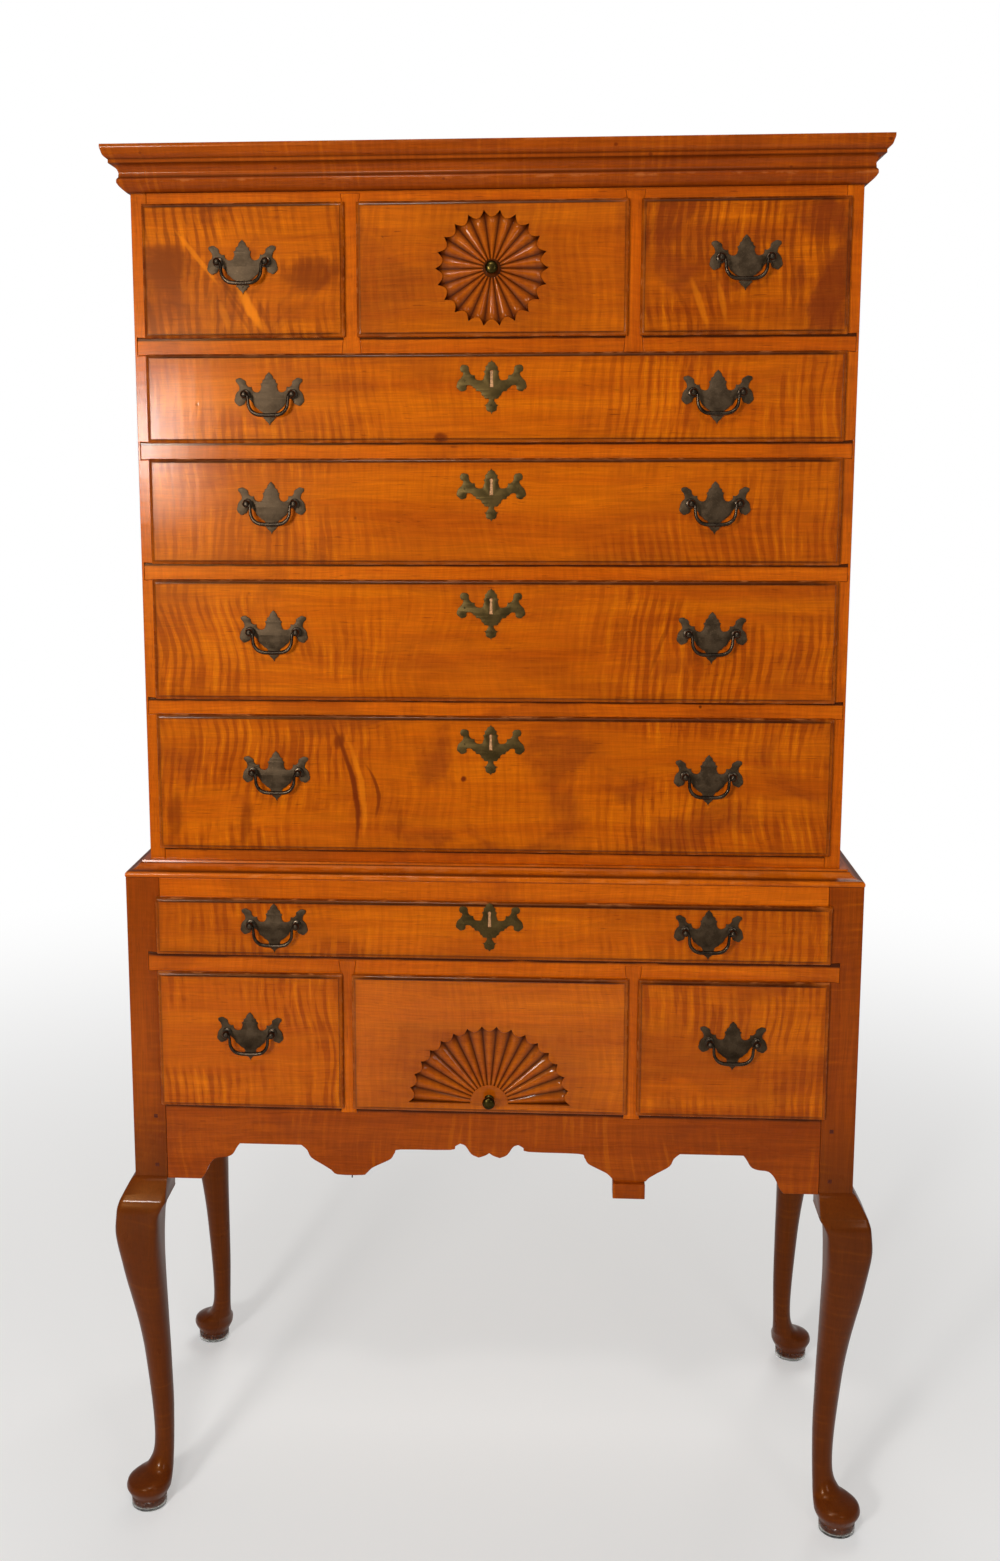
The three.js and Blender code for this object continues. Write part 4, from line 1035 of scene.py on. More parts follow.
def add_drawer(name):
    case, (x0, x1), row, seed = DRAWERS[name][:4]
    body = "body_drawer_" + name
    x0, x1 = x0 + LIP_OVER_SIDE + SIDE_CLEAR, x1 - LIP_OVER_SIDE - SIDE_CLEAR
    inner = (x0 + DRAWER_WALL, x1 - DRAWER_WALL)
    low, high = row[0] + LIP_OVER_RAIL + FIT, row[1] - LIP_OVER_RAIL - TOP_CLEAR
    front, back = FACE[case] - FIT, FACE[case] + DEPTH[case]
    front_wood = add_front(name, body, (inner, (low, high)))
    tails = tail_levels(low, high)
    outline = side_outline(front, back, low, high, tails)
    back_pins = []
    for label, xs, gaps in (
        ("left", (x0, inner[0]), (0.0, -JOINT_GAP)),
        ("right", (inner[1], x1), (JOINT_GAP, 0.0)),
    ):
        gapped = (xs[0] + gaps[0], xs[1] + gaps[1])
        part = name + "_" + label
        side = prism(outline, "x", *gapped)
        timber("side_" + part, side, body, "y", seed + len(label), INSIDE, bevel=0.0)
        pins = pin_shapes(gapped, front + DRAWER_WALL, front, low, high, tails)
        piece("pins_" + part, shapes_joined(pins), body, front_wood)
        back_pins += pin_shapes(xs, back - DRAWER_WALL, back, low, high, tails)
    board = box_shape(inner, (back - DRAWER_WALL, back), (low + DRAWER_FLOOR, high))
    board = shapes_joined([board] + back_pins)
    timber("back_" + name, board, body, "x", seed + 1.5, INSIDE, bevel=0.0)
    xs = (inner[0] + JOINT_GAP, inner[1] - JOINT_GAP)
    zs = (low, low + DRAWER_FLOOR - FLOOR_PLAY)
    floor = box_shape(xs, (FACE[case] + FRONT_BEHIND, back - FIT), zs)
    timber("floor_" + name, floor, body, "x", seed + 2.5, INSIDE, bevel=FLOOR_EDGE)


for drawer_name in DRAWERS:
    add_drawer(drawer_name)


# Joints of the cases
BLADES = [
    (below[1] - LIP_OVER_RAIL, above[0] + LIP_OVER_RAIL)
    for below, above in zip(WIDE_ROWS, WIDE_ROWS[1:] + [TOP_ROW])
]
TOP_OPENING = TOP_ROW[1] - LIP_OVER_RAIL
MID_RAIL = (DEEP_ROW[1] - LIP_OVER_RAIL, SHALLOW_ROW[0] + LIP_OVER_RAIL)
DEEP_LOW = DEEP_ROW[0] + LIP_OVER_RAIL
# Half the space between the sides of each case
SPACE = {"chest": CHEST_INNER - FIT, "base": POST_INNER - FIT}
# Tails that hold the rails: where they enter, their length and depth
TAILS = {"chest": (CHEST_INNER, 16.5, 20.0), "base": (POST_INNER, 17.0, 12.0)}
TAIL_SPREAD = 1.5
TAIL_ROOT = 5.0
# Dividers: both faces' distance from the middle and the depth; levels of the tails and shoulders
DIVIDERS = {"chest": (165.5, 190.5, FRAME_DEPTH), "base": (178.0, 200.5, APRON_THICK - 2.0)}
DIVIDER_LEVELS = {
    "chest": (BLADES[3][0] + 2.0, BLADES[3][1], TOP_OPENING, TOP_OPENING + 13.0),
    "base": (DEEP_LOW - 10.0, DEEP_LOW, MID_RAIL[0], MID_RAIL[1] - 10.0),
}
DIVIDER_FLARE = 2.2
DIVIDER_SHOULDER = 2.5
DIVIDER_EDGE = 0.5
BACK_EDGE = 1.2
BACK_GAP = 0.6
BACK_SEED = 90.0


def joint_prism(outline, case, depth, clearance):
    """A joint cut inward from the face of a case. One with clearance is a tool for its socket."""
    over = CUT_OVER if clearance else 0.0
    return prism(outline, "y", FACE[case] - over, FACE[case] + depth + clearance)


def tail_shape(case, side, level, clearance=0.0):
    """The tail by which a rail is let into the board or post beside it, or its socket."""
    inner, length, depth = TAILS[case]
    low, high = level[0] + LIP_OVER_RAIL, level[1] - LIP_OVER_RAIL
    start, end = side * (inner - TAIL_ROOT), side * (inner + length + clearance)
    flare = TAIL_SPREAD + clearance
    outline = [
        (start, low - clearance), (end, low - flare),
        (end, high + flare), (start, high + clearance),
    ]
    return joint_prism(outline[::side], case, depth, clearance)


def rail_with_tails(case, level):
    half = SPACE[case]
    rail = box_shape((-half, half), (FACE[case], FACE[case] + RAIL_DEPTH), level)
    return carved(rail, "UNION", [tail_shape(case, side, level) for side, _ in SIDES])


def divider_shape(case, side, clearance=0.0):
    """A divider with a tail that widens into the rail at each end, or its notches."""
    near, far, depth = DIVIDERS[case]
    x0, x1 = span(side, near, far)
    foot, low, high, head = DIVIDER_LEVELS[case]
    foot, head = foot - clearance, head + clearance
    left, right = x0 + (DIVIDER_SHOULDER - clearance), x1 - (DIVIDER_SHOULDER - clearance)
    grow = DIVIDER_FLARE + clearance
    outline = [
        (left, low), (left - grow, foot), (right + grow, foot), (right, low), (x1, low), (x1, high),
        (right, high), (right + grow, head), (left - grow, head), (left, high), (x0, high), (x0, low),
    ]
    return joint_prism(outline, case, depth, clearance)


def divider_notches(case):
    return [divider_shape(case, side, JOINT_GAP) for side, _ in SIDES]


def add_dividers(prefix, case, seed):
    for side, label in SIDES:
        shape = divider_shape(case, side)
        timber(prefix + label, shape, case, "z", seed + len(label), RAILS, bevel=DIVIDER_EDGE)


def side_runners(case, ys, top, low=None):
    """A runner along each side of a case."""
    zs = (top - RUNNER_HEIGHT if low is None else low, top)
    half = SPACE[case]
    return [box_shape(span(side, half - RUNNER_WIDTH, half), ys, zs) for side in (1, -1)]


def divider_runners(case, ys, top):
    """A runner behind each divider, with a guide on it."""
    near, far, _ = DIVIDERS[case]
    shapes = []
    for side, _ in SIDES:
        wide = span(side, near - RUNNER_WIDTH, far + RUNNER_WIDTH)
        slim = span(side, near + SIDE_CLEAR, far - SIDE_CLEAR)
        shapes.append(box_shape(wide, ys, (top - RUNNER_HEIGHT, top)))
        shapes.append(box_shape(slim, ys, (top, top + GUIDE_HEIGHT)))
    return shapes


def add_raw(name, shapes, body, seed):
    timber(name, shapes_joined(shapes), body, "y", seed, INSIDE, bevel=RUNNER_EDGE)


def add_back_boards(prefix, count, low, high, thick, body, node):
    """Rough horizontal boards that close a back."""
    step = (high - low) / count
    half = SPACE[body]
    for k in range(count):
        zs = (low + step * k + (BACK_GAP if k else 0.0), low + step * (k + 1))
        shape = box_shape((-half, half), (BACK - thick + FIT, BACK), zs)
        seed = BACK_SEED + 3.0 * k + count
        replaced = () if k else [node]
        timber(prefix + str(k + 1), shape, body, "x", seed, INSIDE, replaced, BACK_EDGE)


# Chest
CHEST_FOOT = BASE_TOP + FIT
CHEST_XS = (-SPACE["chest"], SPACE["chest"])
BEHIND_RAILS = (CHEST_FRONT + RAIL_DEPTH + JOINT_GAP, BACK - BACK_BOARD)


def add_chest_sides():
    for side, label in SIDES:
        xs = span(side, CHEST_INNER, CHEST_HALF)
        whole = box_shape(xs, (CHEST_FRONT, BACK), (CHEST_FOOT, CHEST_TOP))
        sockets = [tail_shape("chest", side, level, FIT) for level in BLADES]
        shape = carved(whole, "DIFFERENCE", sockets)
        node = "chest_side_" + label
        timber("side_board_" + label, shape, "chest", "z", 51.0 + side, RAILS, [node])


def add_blades():
    for k, level in enumerate(BLADES[:3]):
        label = str(k + 1)
        node = "chest_blade_" + label
        shape = rail_with_tails("chest", level)
        timber("blade_" + label, shape, "chest", "x", 60.0 + k, RAILS, [node], top=level[1])
        runners = side_runners("chest", BEHIND_RAILS, level[1])
        add_raw("runners_" + label, runners, "chest", 70.0 + k)


def add_chest_top():
    notches = divider_notches("chest")
    level = BLADES[3]
    blade = carved(rail_with_tails("chest", level), "DIFFERENCE", notches)
    timber("blade_4", blade, "chest", "x", 64.0, RAILS, ["chest_top_frame"], top=level[1])
    zs = (TOP_OPENING, CHEST_TOP - TOP_BOARD - JOINT_GAP)
    rail = box_shape(CHEST_XS, (CHEST_FRONT, CHEST_FRONT + FRAME_DEPTH), zs)
    timber("top_rail", carved(rail, "DIFFERENCE", notches), "chest", "x", 66.0, RAILS)
    add_dividers("top_divider_", "chest", 80.0)
    zs = (CHEST_TOP - TOP_BOARD, CHEST_TOP)
    board = box_shape(CHEST_XS, (CHEST_FRONT, BACK - BACK_BOARD), zs)
    timber("top_board", board, "chest", "x", 68.0, INSIDE)
    runners = side_runners("chest", BEHIND_RAILS, level[1])
    runners += divider_runners("chest", BEHIND_RAILS, level[1])
    add_raw("runners_4", runners, "chest", 73.0)


def add_chest_bottom():
    top = WIDE_ROWS[0][0] + LIP_OVER_RAIL
    rail = box_shape(CHEST_XS, (CHEST_FRONT, CHEST_FRONT + RAIL_DEPTH), (CHEST_FOOT, top))
    timber("bottom_rail", rail, "chest", "x", 84.0, RAILS, ["chest_bottom_frame"], top=top)
    half = SPACE["chest"] - RUNNER_WIDTH - JOINT_GAP
    board = box_shape((-half, half), BEHIND_RAILS, (CHEST_FOOT, CHEST_FOOT + TOP_BOARD))
    timber("bottom_board", board, "chest", "x", 85.0, INSIDE)
    add_raw("runners_0", side_runners("chest", BEHIND_RAILS, top, CHEST_FOOT), "chest", 74.0)


add_chest_sides()
add_blades()
add_chest_top()
add_chest_bottom()
add_back_boards("chest_back_board_", 4, CHEST_FOOT, CHEST_TOP, BACK_BOARD, "chest", "chest_back")


# Mouldings: outlines in shares of their throw and height, from the case's face and the lower edge
CORNICE_SHARES = [
    (0, 0), (0.08, 0), (0.2, 0.05), (0.36, 0.13), (0.46, 0.21), (0.45, 0.28), (0.38, 0.33),
    (0.38, 0.36), (0.37, 0.42), (0.42, 0.49), (0.52, 0.55), (0.64, 0.59), (0.72, 0.61),
    (0.72, 0.69), (0.78, 0.71), (0.9, 0.77), (0.96, 0.86), (1, 0.93), (1, 1), (0, 1),
]
WAIST_SHARES = [
    (0, 0), (0.97, 0), (1, 0.1), (1, 0.24), (0.95, 0.36), (0.86, 0.41), (0.78, 0.43),
    (0.62, 0.51), (0.48, 0.65), (0.38, 0.85), (0.32, 0.87), (0.3, 1), (0, 1),
]
# Bands of painted shade and dirt in the hollows, and of wear on the edges: height, width and strength
CORNICE_BANDS = {
    "dirt_and_shade": [(0.0, 0.03, 0.8), (0.33, 0.04, 0.75), (0.6, 0.03, 0.6), (0.69, 0.02, 0.55)],
    "wear": [(0.24, 0.03, 0.5), (1.0, 0.04, 0.4)],
}
WAIST_BANDS = {
    "dirt_and_shade": [(0.42, 0.06, 0.8), (0.86, 0.04, 0.7), (0.0, 0.05, 0.5)],
    "wear": [(0.2, 0.12, 0.6), (0.62, 0.12, 0.4), (1.0, 0.05, 0.5)],
}
# Dark dents in the front of the cornice: x, z, half width and half height
CORNICE_DENTS = [
    (480.5, 1840.0, 3.2, 2.4), (470.7, 1822.0, 2.2, 2.2), (365.7, 1812.0, 3.0, 1.8),
    (151.4, 1838.0, 3.0, 2.6), (194.2, 1827.0, 3.4, 3.0), (-270.0, 1818.0, 2.4, 2.0),
    (-436.0, 1836.0, 2.6, 2.0), (-60.0, 1803.0, 2.6, 1.8),
]
DENT_STRENGTH = 0.85


def moulding_runs(section):
    """The front run and the two returns of a moulding, mitred at the corners."""
    mitre = JOINT_GAP / 2
    ends = []
    for side, _ in SIDES:
        ends.append([(side * (CHEST_HALF + out - mitre), CHEST_FRONT - out, z) for out, z in section])
    runs = {"front": loft(ends)}
    for side, label in SIDES:
        near = [(side * (CHEST_HALF + out), CHEST_FRONT - out + mitre, z) for out, z in section]
        far = [(x, BACK, z) for x, _, z in near]
        runs[label] = loft([near, far][::-side])
    return runs


def strength_at(up, bands):
    return max(strength * math.exp(-(((up - at) / width) ** 2)) for at, width, strength in bands)


def add_moulding(prefix, node, body, shares, throw, low, height, kind, seed, bands, dents=()):
    section = [(FIT + out * (throw - FIT), low + up * height) for out, up in smoothed(shares)]
    for label, shape in moulding_runs(section).items():
        front = label == "front"
        marks = [mark(x, z, 0.0, *size, DENT_STRENGTH) for x, z, *size in dents] if front else ()
        made = wood(prefix + label, "x" if front else "y", seed + len(label), kind, marks=marks)
        replaced = [node] if front else ()
        mesh = piece(prefix + label, shape, body, made, replaced).data
        heights = [(vertex.co.z / MM - low) / height for vertex in mesh.vertices]
        for name, rows in bands.items():
            set_values(mesh, name, [strength_at(up, rows) for up in heights])


add_moulding("cornice_", "cornice", "chest", CORNICE_SHARES, throw=30.0, low=1791.5, height=55.5,
             kind=PLAIN_SHADED, seed=100.0, bands=CORNICE_BANDS, dents=CORNICE_DENTS)
add_moulding("waist_", "waist_moulding", "base", WAIST_SHARES, throw=28.5, low=CHEST_FOOT,
             height=19.25, kind=RAILS, seed=104.0, bands=WAIST_BANDS)


# Legs: height, how far out along both axes, half width and roundness, in shares of the leg's
# height, the knee's throw and half the post
LEG_SHARES = [
    (1.0, 0.0, 1.0, 0.0), (0.993, 0.12, 1.1, 0.02), (0.978, 0.24, 1.2, 0.04),
    (0.943, 0.49, 1.398, 0.08), (0.935, 0.536, 1.432, 0.1), (0.917, 0.757, 1.378, 0.16),
    (0.89, 0.93, 1.318, 0.26), (0.852, 1.0, 1.338, 0.36), (0.811, 0.978, 1.311, 0.48),
    (0.761, 0.892, 1.244, 0.6), (0.7, 0.757, 1.169, 0.72), (0.629, 0.565, 1.047, 0.82),
    (0.558, 0.381, 0.927, 0.9), (0.477, 0.208, 0.829, 1.0), (0.389, 0.076, 0.751, 1.0),
    (0.304, -0.027, 0.684, 1.0), (0.233, -0.065, 0.627, 1.0), (0.178, -0.046, 0.607, 1.0),
    (0.142, 0.027, 0.644, 1.0), (0.118, 0.17, 0.749, 1.0),
]
# The pad, with its heights in shares of its own height
PAD_SHARES = [
    (1.0, 0.343, 0.896, 1.0), (0.9, 0.608, 1.122, 1.0), (0.78, 0.878, 1.344, 1.0),
    (0.68, 0.96, 1.385, 1.0), (0.62, 0.986, 1.389, 1.0), (0.55, 1.0, 1.36, 1.0),
    (0.44, 1.0, 1.24, 1.0), (0.32, 1.0, 1.08, 1.0),
]
LEG_TURN = math.radians(175)
HALF_POST = POST / 2
# Angles of the points of a quarter of a leg's ring, close together at the corner of a post
QUADRANT = [-45.0, -42.5, -38.0, -30.0, -20.0, -10.0, 0.0, 10.0, 20.0, 30.0, 38.0, 42.5]
# The power of the ring of a square post, which grows with the sharpness of its corners
SQUAREST = 44.0
POST_FOOT = LEG_HEIGHT + 1.5
# The foot's lowest level and its radius there, in the cup
SOLE = (CUP_HEIGHT * 0.35, CUP_RADIUS - 2.2)
# A cup's wall with its rounded rim, and its floor: radius and height
CUP_PROFILE = [
    (CUP_RADIUS - 1.5, 0.0), (CUP_RADIUS, 1.5), (CUP_RADIUS, CUP_HEIGHT - 0.8),
    (CUP_RADIUS - 0.8, CUP_HEIGHT), (CUP_RADIUS - 1.6, CUP_HEIGHT - 0.6),
    (CUP_RADIUS - 1.9, 4.0), (CUP_RADIUS - 3.5, 3.0),
]
CUP_SIDES = 40


def leg_ring(z, shift, half, roundness):
    """A level of a leg between square and round, moved out along both axes."""
    diagonal = math.sqrt(2) + (1 - math.sqrt(2)) * min(1.0, max(0.0, roundness))
    power = 1 / max(1 / SQUAREST, 0.5 - math.log2(diagonal))
    ring = []
    for quarter in range(4):
        for step in QUADRANT:
            angle = math.radians(90.0 * quarter + step)
            c, s = math.cos(angle), math.sin(angle)
            reach = half / (abs(c) ** power + abs(s) ** power) ** (1 / power)
            ring.append((shift + c * reach, shift + s * reach, z))
    return ring


def leg_centre(side, depth, out=0.0):
    """The middle of a leg in x and y where it stands out of its post by a distance."""
    y = BACK - HALF_POST + out if depth == "back" else BASE_FRONT + HALF_POST - out
    return side * (BASE_HALF - HALF_POST + out), y


def leg_shape(side, depth):
    sections = [(up * LEG_HEIGHT, *shares) for up, *shares in LEG_SHARES]
    sections += [(up * PAD_HEIGHT, *shares) for up, *shares in PAD_SHARES]
    rings = [leg_ring(z, 0.0, HALF_POST, 0.0) for z in (BASE_TOP, POST_FOOT)]
    for z, out, wide, roundness in smoothed(sections, 3, LEG_TURN):
        rings.append(leg_ring(z, out * KNEE_THROW, wide * HALF_POST, roundness))
    rings.append(leg_ring(SOLE[0], KNEE_THROW, SOLE[1], 1.0))
    x0, y0 = leg_centre(side, depth)
    towards = 1 if depth == "back" else -1
    return loft([[(x0 + side * x, y0 + towards * y, z) for x, y, z in ring] for ring in rings])


def add_legs():
    for side, across in SIDES:
        for at_back, depth in enumerate(("front", "back")):
            label = depth + "_" + across
            name = "leg_" + label
            shape = leg_shape(side, depth)
            if not at_back:
                shape = carved(shape, "DIFFERENCE", [tail_shape("base", side, MID_RAIL, FIT)])
            made = wood(name, "z", 110.0 + 2.0 * side + at_back, POSTS)
            piece("post_and_" + name, shape, "base", made, [name])
            origin = (*leg_centre(side, depth, KNEE_THROW), 0.0)
            cup = turned_shape(CUP_PROFILE, origin, "z", CUP_SIDES)
            piece("cup_" + label, cup, "base", CLEAR)


add_legs()


# Base frame: half of the apron's lower edge and all of a side panel's, in shares of their length
# and of the apron's rise
APRON_SHARES = [
    (0, 0.9), (0.012, 0.83), (0.032, 0.77), (0.055, 0.86), (0.073, 1.08), (0.089, 1.14),
    (0.105, 1.06), (0.12, 0.96), (0.272, 0.94), (0.29, 0.85), (0.302, 0.68), (0.33, 0.55),
    (0.36, 0.42), (0.378, 0.27), (0.392, 0.21), (0.468, 0.21), (0.488, 0.33), (0.512, 0.46),
    (0.55, 0.66), (0.562, 0.86), (0.58, 1), (0.772, 1), (0.782, 0.88), (0.795, 0.7),
    (0.815, 0.62), (0.848, 0.58), (0.868, 0.4), (0.882, 0.14), (0.895, 0), (1, 0),
]
SKIRT_SHARES = [
    (0, 0), (0.1, 0), (0.14, 0.3), (0.2, 0.6), (0.26, 0.68), (0.3, 1), (0.7, 1), (0.74, 0.68),
    (0.8, 0.6), (0.86, 0.3), (0.9, 0), (1, 0),
]
SCROLL_TURN = math.radians(40)
# The pendant hangs from the level stretch of the apron's edge at this share of its rise
PENDANT_SHARE = 0.21
PENDANT_X = (166.0, 209.0)
PENDANT_TOP = APRON_LOW + PENDANT_SHARE * APRON_RISE
PENDANT_HEIGHT = 21.0
PENDANT_PROUD = 7.0
PENDANT_EDGE = 1.0
APRON_EDGE = 0.7
PANEL_OUTER = BASE_HALF - 3.0
PANEL_YS = (BASE_FRONT + POST + FIT, BACK - POST - FIT)
BASE_BACK_LOW = 545.0


def scrolled(shares, start, length):
    edge = [(start + along * length, APRON_LOW + up * APRON_RISE) for along, up in shares]
    return smoothed(edge, 3, SCROLL_TURN)


def add_base_front():
    half = SPACE["base"]
    notches = divider_notches("base")
    edge = scrolled(APRON_SHARES, 0.0, half)
    mirrored = [(-x, z) for x, z in edge[1:]]
    outline = mirrored[::-1] + edge + [(half, DEEP_LOW), (-half, DEEP_LOW)]
    ys = (BASE_FRONT, BASE_FRONT + APRON_THICK)
    apron = carved(prism(outline, "y", *ys), "DIFFERENCE", notches)
    timber("apron", apron, "base", "x", 120.0, PLAIN_SHADED, ["base_front_frame"], APRON_EDGE, DEEP_LOW)
    rail = carved(rail_with_tails("base", MID_RAIL), "DIFFERENCE", notches)
    timber("mid_rail", rail, "base", "x", 122.0, RAILS, top=MID_RAIL[1])
    add_dividers("base_divider_", "base", 124.0)
    zs = (PENDANT_TOP - PENDANT_HEIGHT, PENDANT_TOP - JOINT_GAP)
    pendant = box_shape(PENDANT_X, (BASE_FRONT - PENDANT_PROUD, ys[1]), zs)
    timber("pendant", pendant, "base", "x", 126.0, PLAIN_SHADED, bevel=PENDANT_EDGE)


def add_base_rest():
    half = SPACE["base"]
    zs = (SHALLOW_ROW[1] - LIP_OVER_RAIL, BASE_TOP)
    rail = box_shape((-half, half), (BASE_FRONT, BASE_FRONT + RAIL_DEPTH), zs)
    timber("base_top_rail", rail, "base", "x", 130.0, RAILS, ["base_top_frame"])
    behind_rail = (BASE_FRONT + RAIL_DEPTH + JOINT_GAP, BACK - SIDE_BOARD)
    behind_apron = (BASE_FRONT + APRON_THICK + JOINT_GAP, BACK - SIDE_BOARD)
    cleats = []
    for side, _ in SIDES:
        cleats.append(box_shape(span(side, half - RUNNER_WIDTH, half), behind_rail, zs))
        xs = span(side, half + JOINT_GAP, PANEL_OUTER - SIDE_BOARD - FIT)
        cleats.append(box_shape(xs, PANEL_YS, zs))
    add_raw("cleats", cleats, "base", 132.0)
    runners = side_runners("base", behind_apron, DEEP_LOW)
    runners += side_runners("base", behind_rail, MID_RAIL[1])
    runners += divider_runners("base", behind_apron, DEEP_LOW)
    add_raw("base_runners", runners, "base", 134.0)
    front, back = PANEL_YS
    outline = scrolled(SKIRT_SHARES, front, back - front) + [(back, BASE_TOP), (front, BASE_TOP)]
    for side, label in SIDES:
        shape = prism(outline, "x", *span(side, PANEL_OUTER, PANEL_OUTER - SIDE_BOARD))
        node = "base_side_" + label
        timber("side_panel_" + label, shape, "base", "y", 136.0 + side, PLAIN_SHADED, [node])
    add_back_boards("base_back_board_", 2, BASE_BACK_LOW, BASE_TOP, SIDE_BOARD, "base", "base_back")


add_base_front()
add_base_rest()


# Brass: the right halves of a pull's plate and of a keyhole plate, from top to bottom. Each
# corner is joined to the next by a bow, which bends inward where the third number is negative.
PLATE_CORNERS = [
    (0, 27.8, 0.02), (4.6, 23.0, -0.18), (8.4, 18.0, -0.22), (11.2, 13.2, -0.16),
    (10.6, 7.4, -0.22), (16.6, 2.6, -0.24), (22.4, 9.8, -0.16), (28.0, 10.6, -0.14),
    (29.6, 15.6, 0.10), (34.0, 19.0, 0.18), (39.6, 20.2, 0.35), (42.2, 15.4, -0.10),
    (38.4, 9.6, -0.20), (40.6, 3.6, 0.10), (44.0, -4.4, 0.22), (42.0, -12.0, 0.28),
    (35.4, -13.2, 0.20), (30.6, -8.0, -0.10), (26.6, -5.4, -0.10), (19.4, -14.4, -0.04),
    (12.4, -20.6, -0.10), (8.2, -23.4, -0.25), (8.8, -29.2, -0.12), (5.0, -33.0, -0.12),
    (0, -39.4, 0),
]
KEY_CORNERS = [
    (0, 33.5, -0.16), (4.0, 30.2, -0.10), (8.1, 24.8, -0.25), (10.0, 19.2, -0.20),
    (9.6, 13.0, -0.30), (15.4, 8.4, -0.28), (21.2, 14.8, -0.16), (27.0, 16.8, -0.10),
    (28.6, 23.6, 0.20), (33.6, 27.2, 0.22), (39.6, 24.6, 0.15), (38.0, 18.6, -0.25),
    (35.6, 16.6, -0.10), (40.4, 9.4, 0.10), (43.6, 3.6, 0.25), (41.0, -3.2, 0.22),
    (35.6, -5.0, 0.28), (31.8, 0.6, -0.10), (30.0, 2.2, -0.18), (22.4, -1.6, -0.30),
    (19.6, -4.4, 0.10), (15.4, -5.2, -0.16), (12.2, -10.4, -0.20), (8.8, -14.0, 0.06),
    (3.8, -14.6, -0.20), (4.6, -18.8, -0.20), (9.8, -22.2, -0.20), (6.6, -25.6, 0.20),
    (4.0, -30.4, -0.20), (0, -33.5, 0),
]
BOW_STEPS = 5
FLAT_ANGLE = math.radians(20)
PIVOT_OUT = 13.0
PULL_SPACING = 61.0
PLATE_THICK, PLATE_EDGE = 1.5, 0.45
KEY_THICK, KEY_EDGE = 1.2, 0.4
# Small pins: where they are, and their radius; shares of the radius and rise up their heads
PLATE_PINS = ([(0.0, -30.0)], 1.3)
KEY_PINS = ([(-34.0, 8.0), (34.0, 8.0), (0.0, -22.4)], 1.2)
PIN_SUNK, PIN_RISE = 0.1, 0.6
PIN_SHARES = ((0.9, 0.5), (0.5, 0.9))
PIN_SIDES = 12
# Keyholes: their round, and how far under its top the waist is, as a share of its radius
KEYHOLE_ARC = (-20.0, 200.0, 12)
WAIST_SHARE = 2.6
# Radius and top of the round, foot, half width of the waist and of the foot
KEYHOLE = (2.1, 20.9, -0.2, 1.45, 2.3)
KEYHOLE_INSERT = (1.9, 20.5, 0.0, 1.25, 2.1)
INSERT_YS = (-0.35, 0.6)
KEY_SUNK = 0.05
# How much the parts of a pull and of a keyhole plate are rubbed bright
PULL_WEAR = {"plate": 0.0, "posts": 0.9, "pins": 0.1}
KEY_WEAR = {"plate": 0.2, "pins": 0.3}
BALL = 4.9
BALL_ARC = (-52.0, 90.0, 10)
POST_SIDES = 24
KNOB_SIDES = 32
POST_PROFILE = [
    (6.4, -1.3), (6.5, -2.0), (5.6, -2.8), (4.0, -3.2), (3.0, -3.9), (2.7, -6.0), (3.1, -8.2),
]
# A bail hangs from its pins: half of its line, and the radius of its rod there
BAIL_HALF = [
    (33.5, 0.0, 1.5), (30.0, 0.6, 1.6), (27.6, 0.2, 1.7), (26.2, -1.8, 1.8), (25.6, -6.0, 1.95),
    (25.3, -10.5, 2.05), (24.6, -15.0, 2.15), (22.0, -20.0, 2.3), (17.4, -24.0, 2.45),
    (11.0, -25.9, 2.5), (0.0, -26.4, 2.5),
]
BAIL_TURN = math.radians(170)
BAIL_SIDES = 16
KNOB_PROFILE = [
    (6.4, 0.2), (6.5, -0.6), (5.8, -1.6), (3.6, -2.6), (3.0, -5.0), (3.1, -8.0), (4.6, -9.8),
    (6.9, -11.2), (8.1, -12.9), (8.5, -14.6), (8.0, -16.4), (6.6, -17.9), (4.4, -18.7), (2.0, -19.0),
]


def mirrored_outline(corners):
    """The whole outline of a plate from its right half."""
    right = []
    for (x0, z0, swell), (x1, z1, _) in zip(corners, corners[1:]):
        for step in range(BOW_STEPS):
            t = step / BOW_STEPS
            lift = 4 * t * (1 - t) * swell
            x = x0 + (x1 - x0) * t - lift * (z1 - z0)
            right.append((x, z0 + (z1 - z0) * t + lift * (x1 - x0)))
    left = [(-x, z) for x, z in right[1:]]
    return right + [corners[-1][:2]] + left[::-1]


def plate_mesh(name, loops, thick, edge):
    """A thin plate with rounded edges, its back on y = 0, from an outline and its holes."""
    curve = bpy.data.curves.new(name, "CURVE")
    curve.dimensions = "2D"
    curve.fill_mode = "BOTH"
    for loop in loops:
        line = curve.splines.new("POLY")
        line.points.add(len(loop) - 1)
        for point, (x, z) in zip(line.points, loop):
            point.co = (x * MM, z * MM, 0.0, 1.0)
        line.use_cyclic_u = True
    curve.extrude = (thick / 2 - edge) * MM
    curve.bevel_depth = edge * MM
    curve.offset = -edge * MM
    curve.bevel_resolution = 2
    work = put_in_scene("work_curve", curve)
    mesh = evaluated_mesh(work)
    bpy.data.objects.remove(work)
    turn = Matrix.Rotation(math.radians(90), 4, "X")
    mesh.transform(Matrix.Translation((0, -thick / 2 * MM, 0)) @ turn)
    return cleaned(mesh)


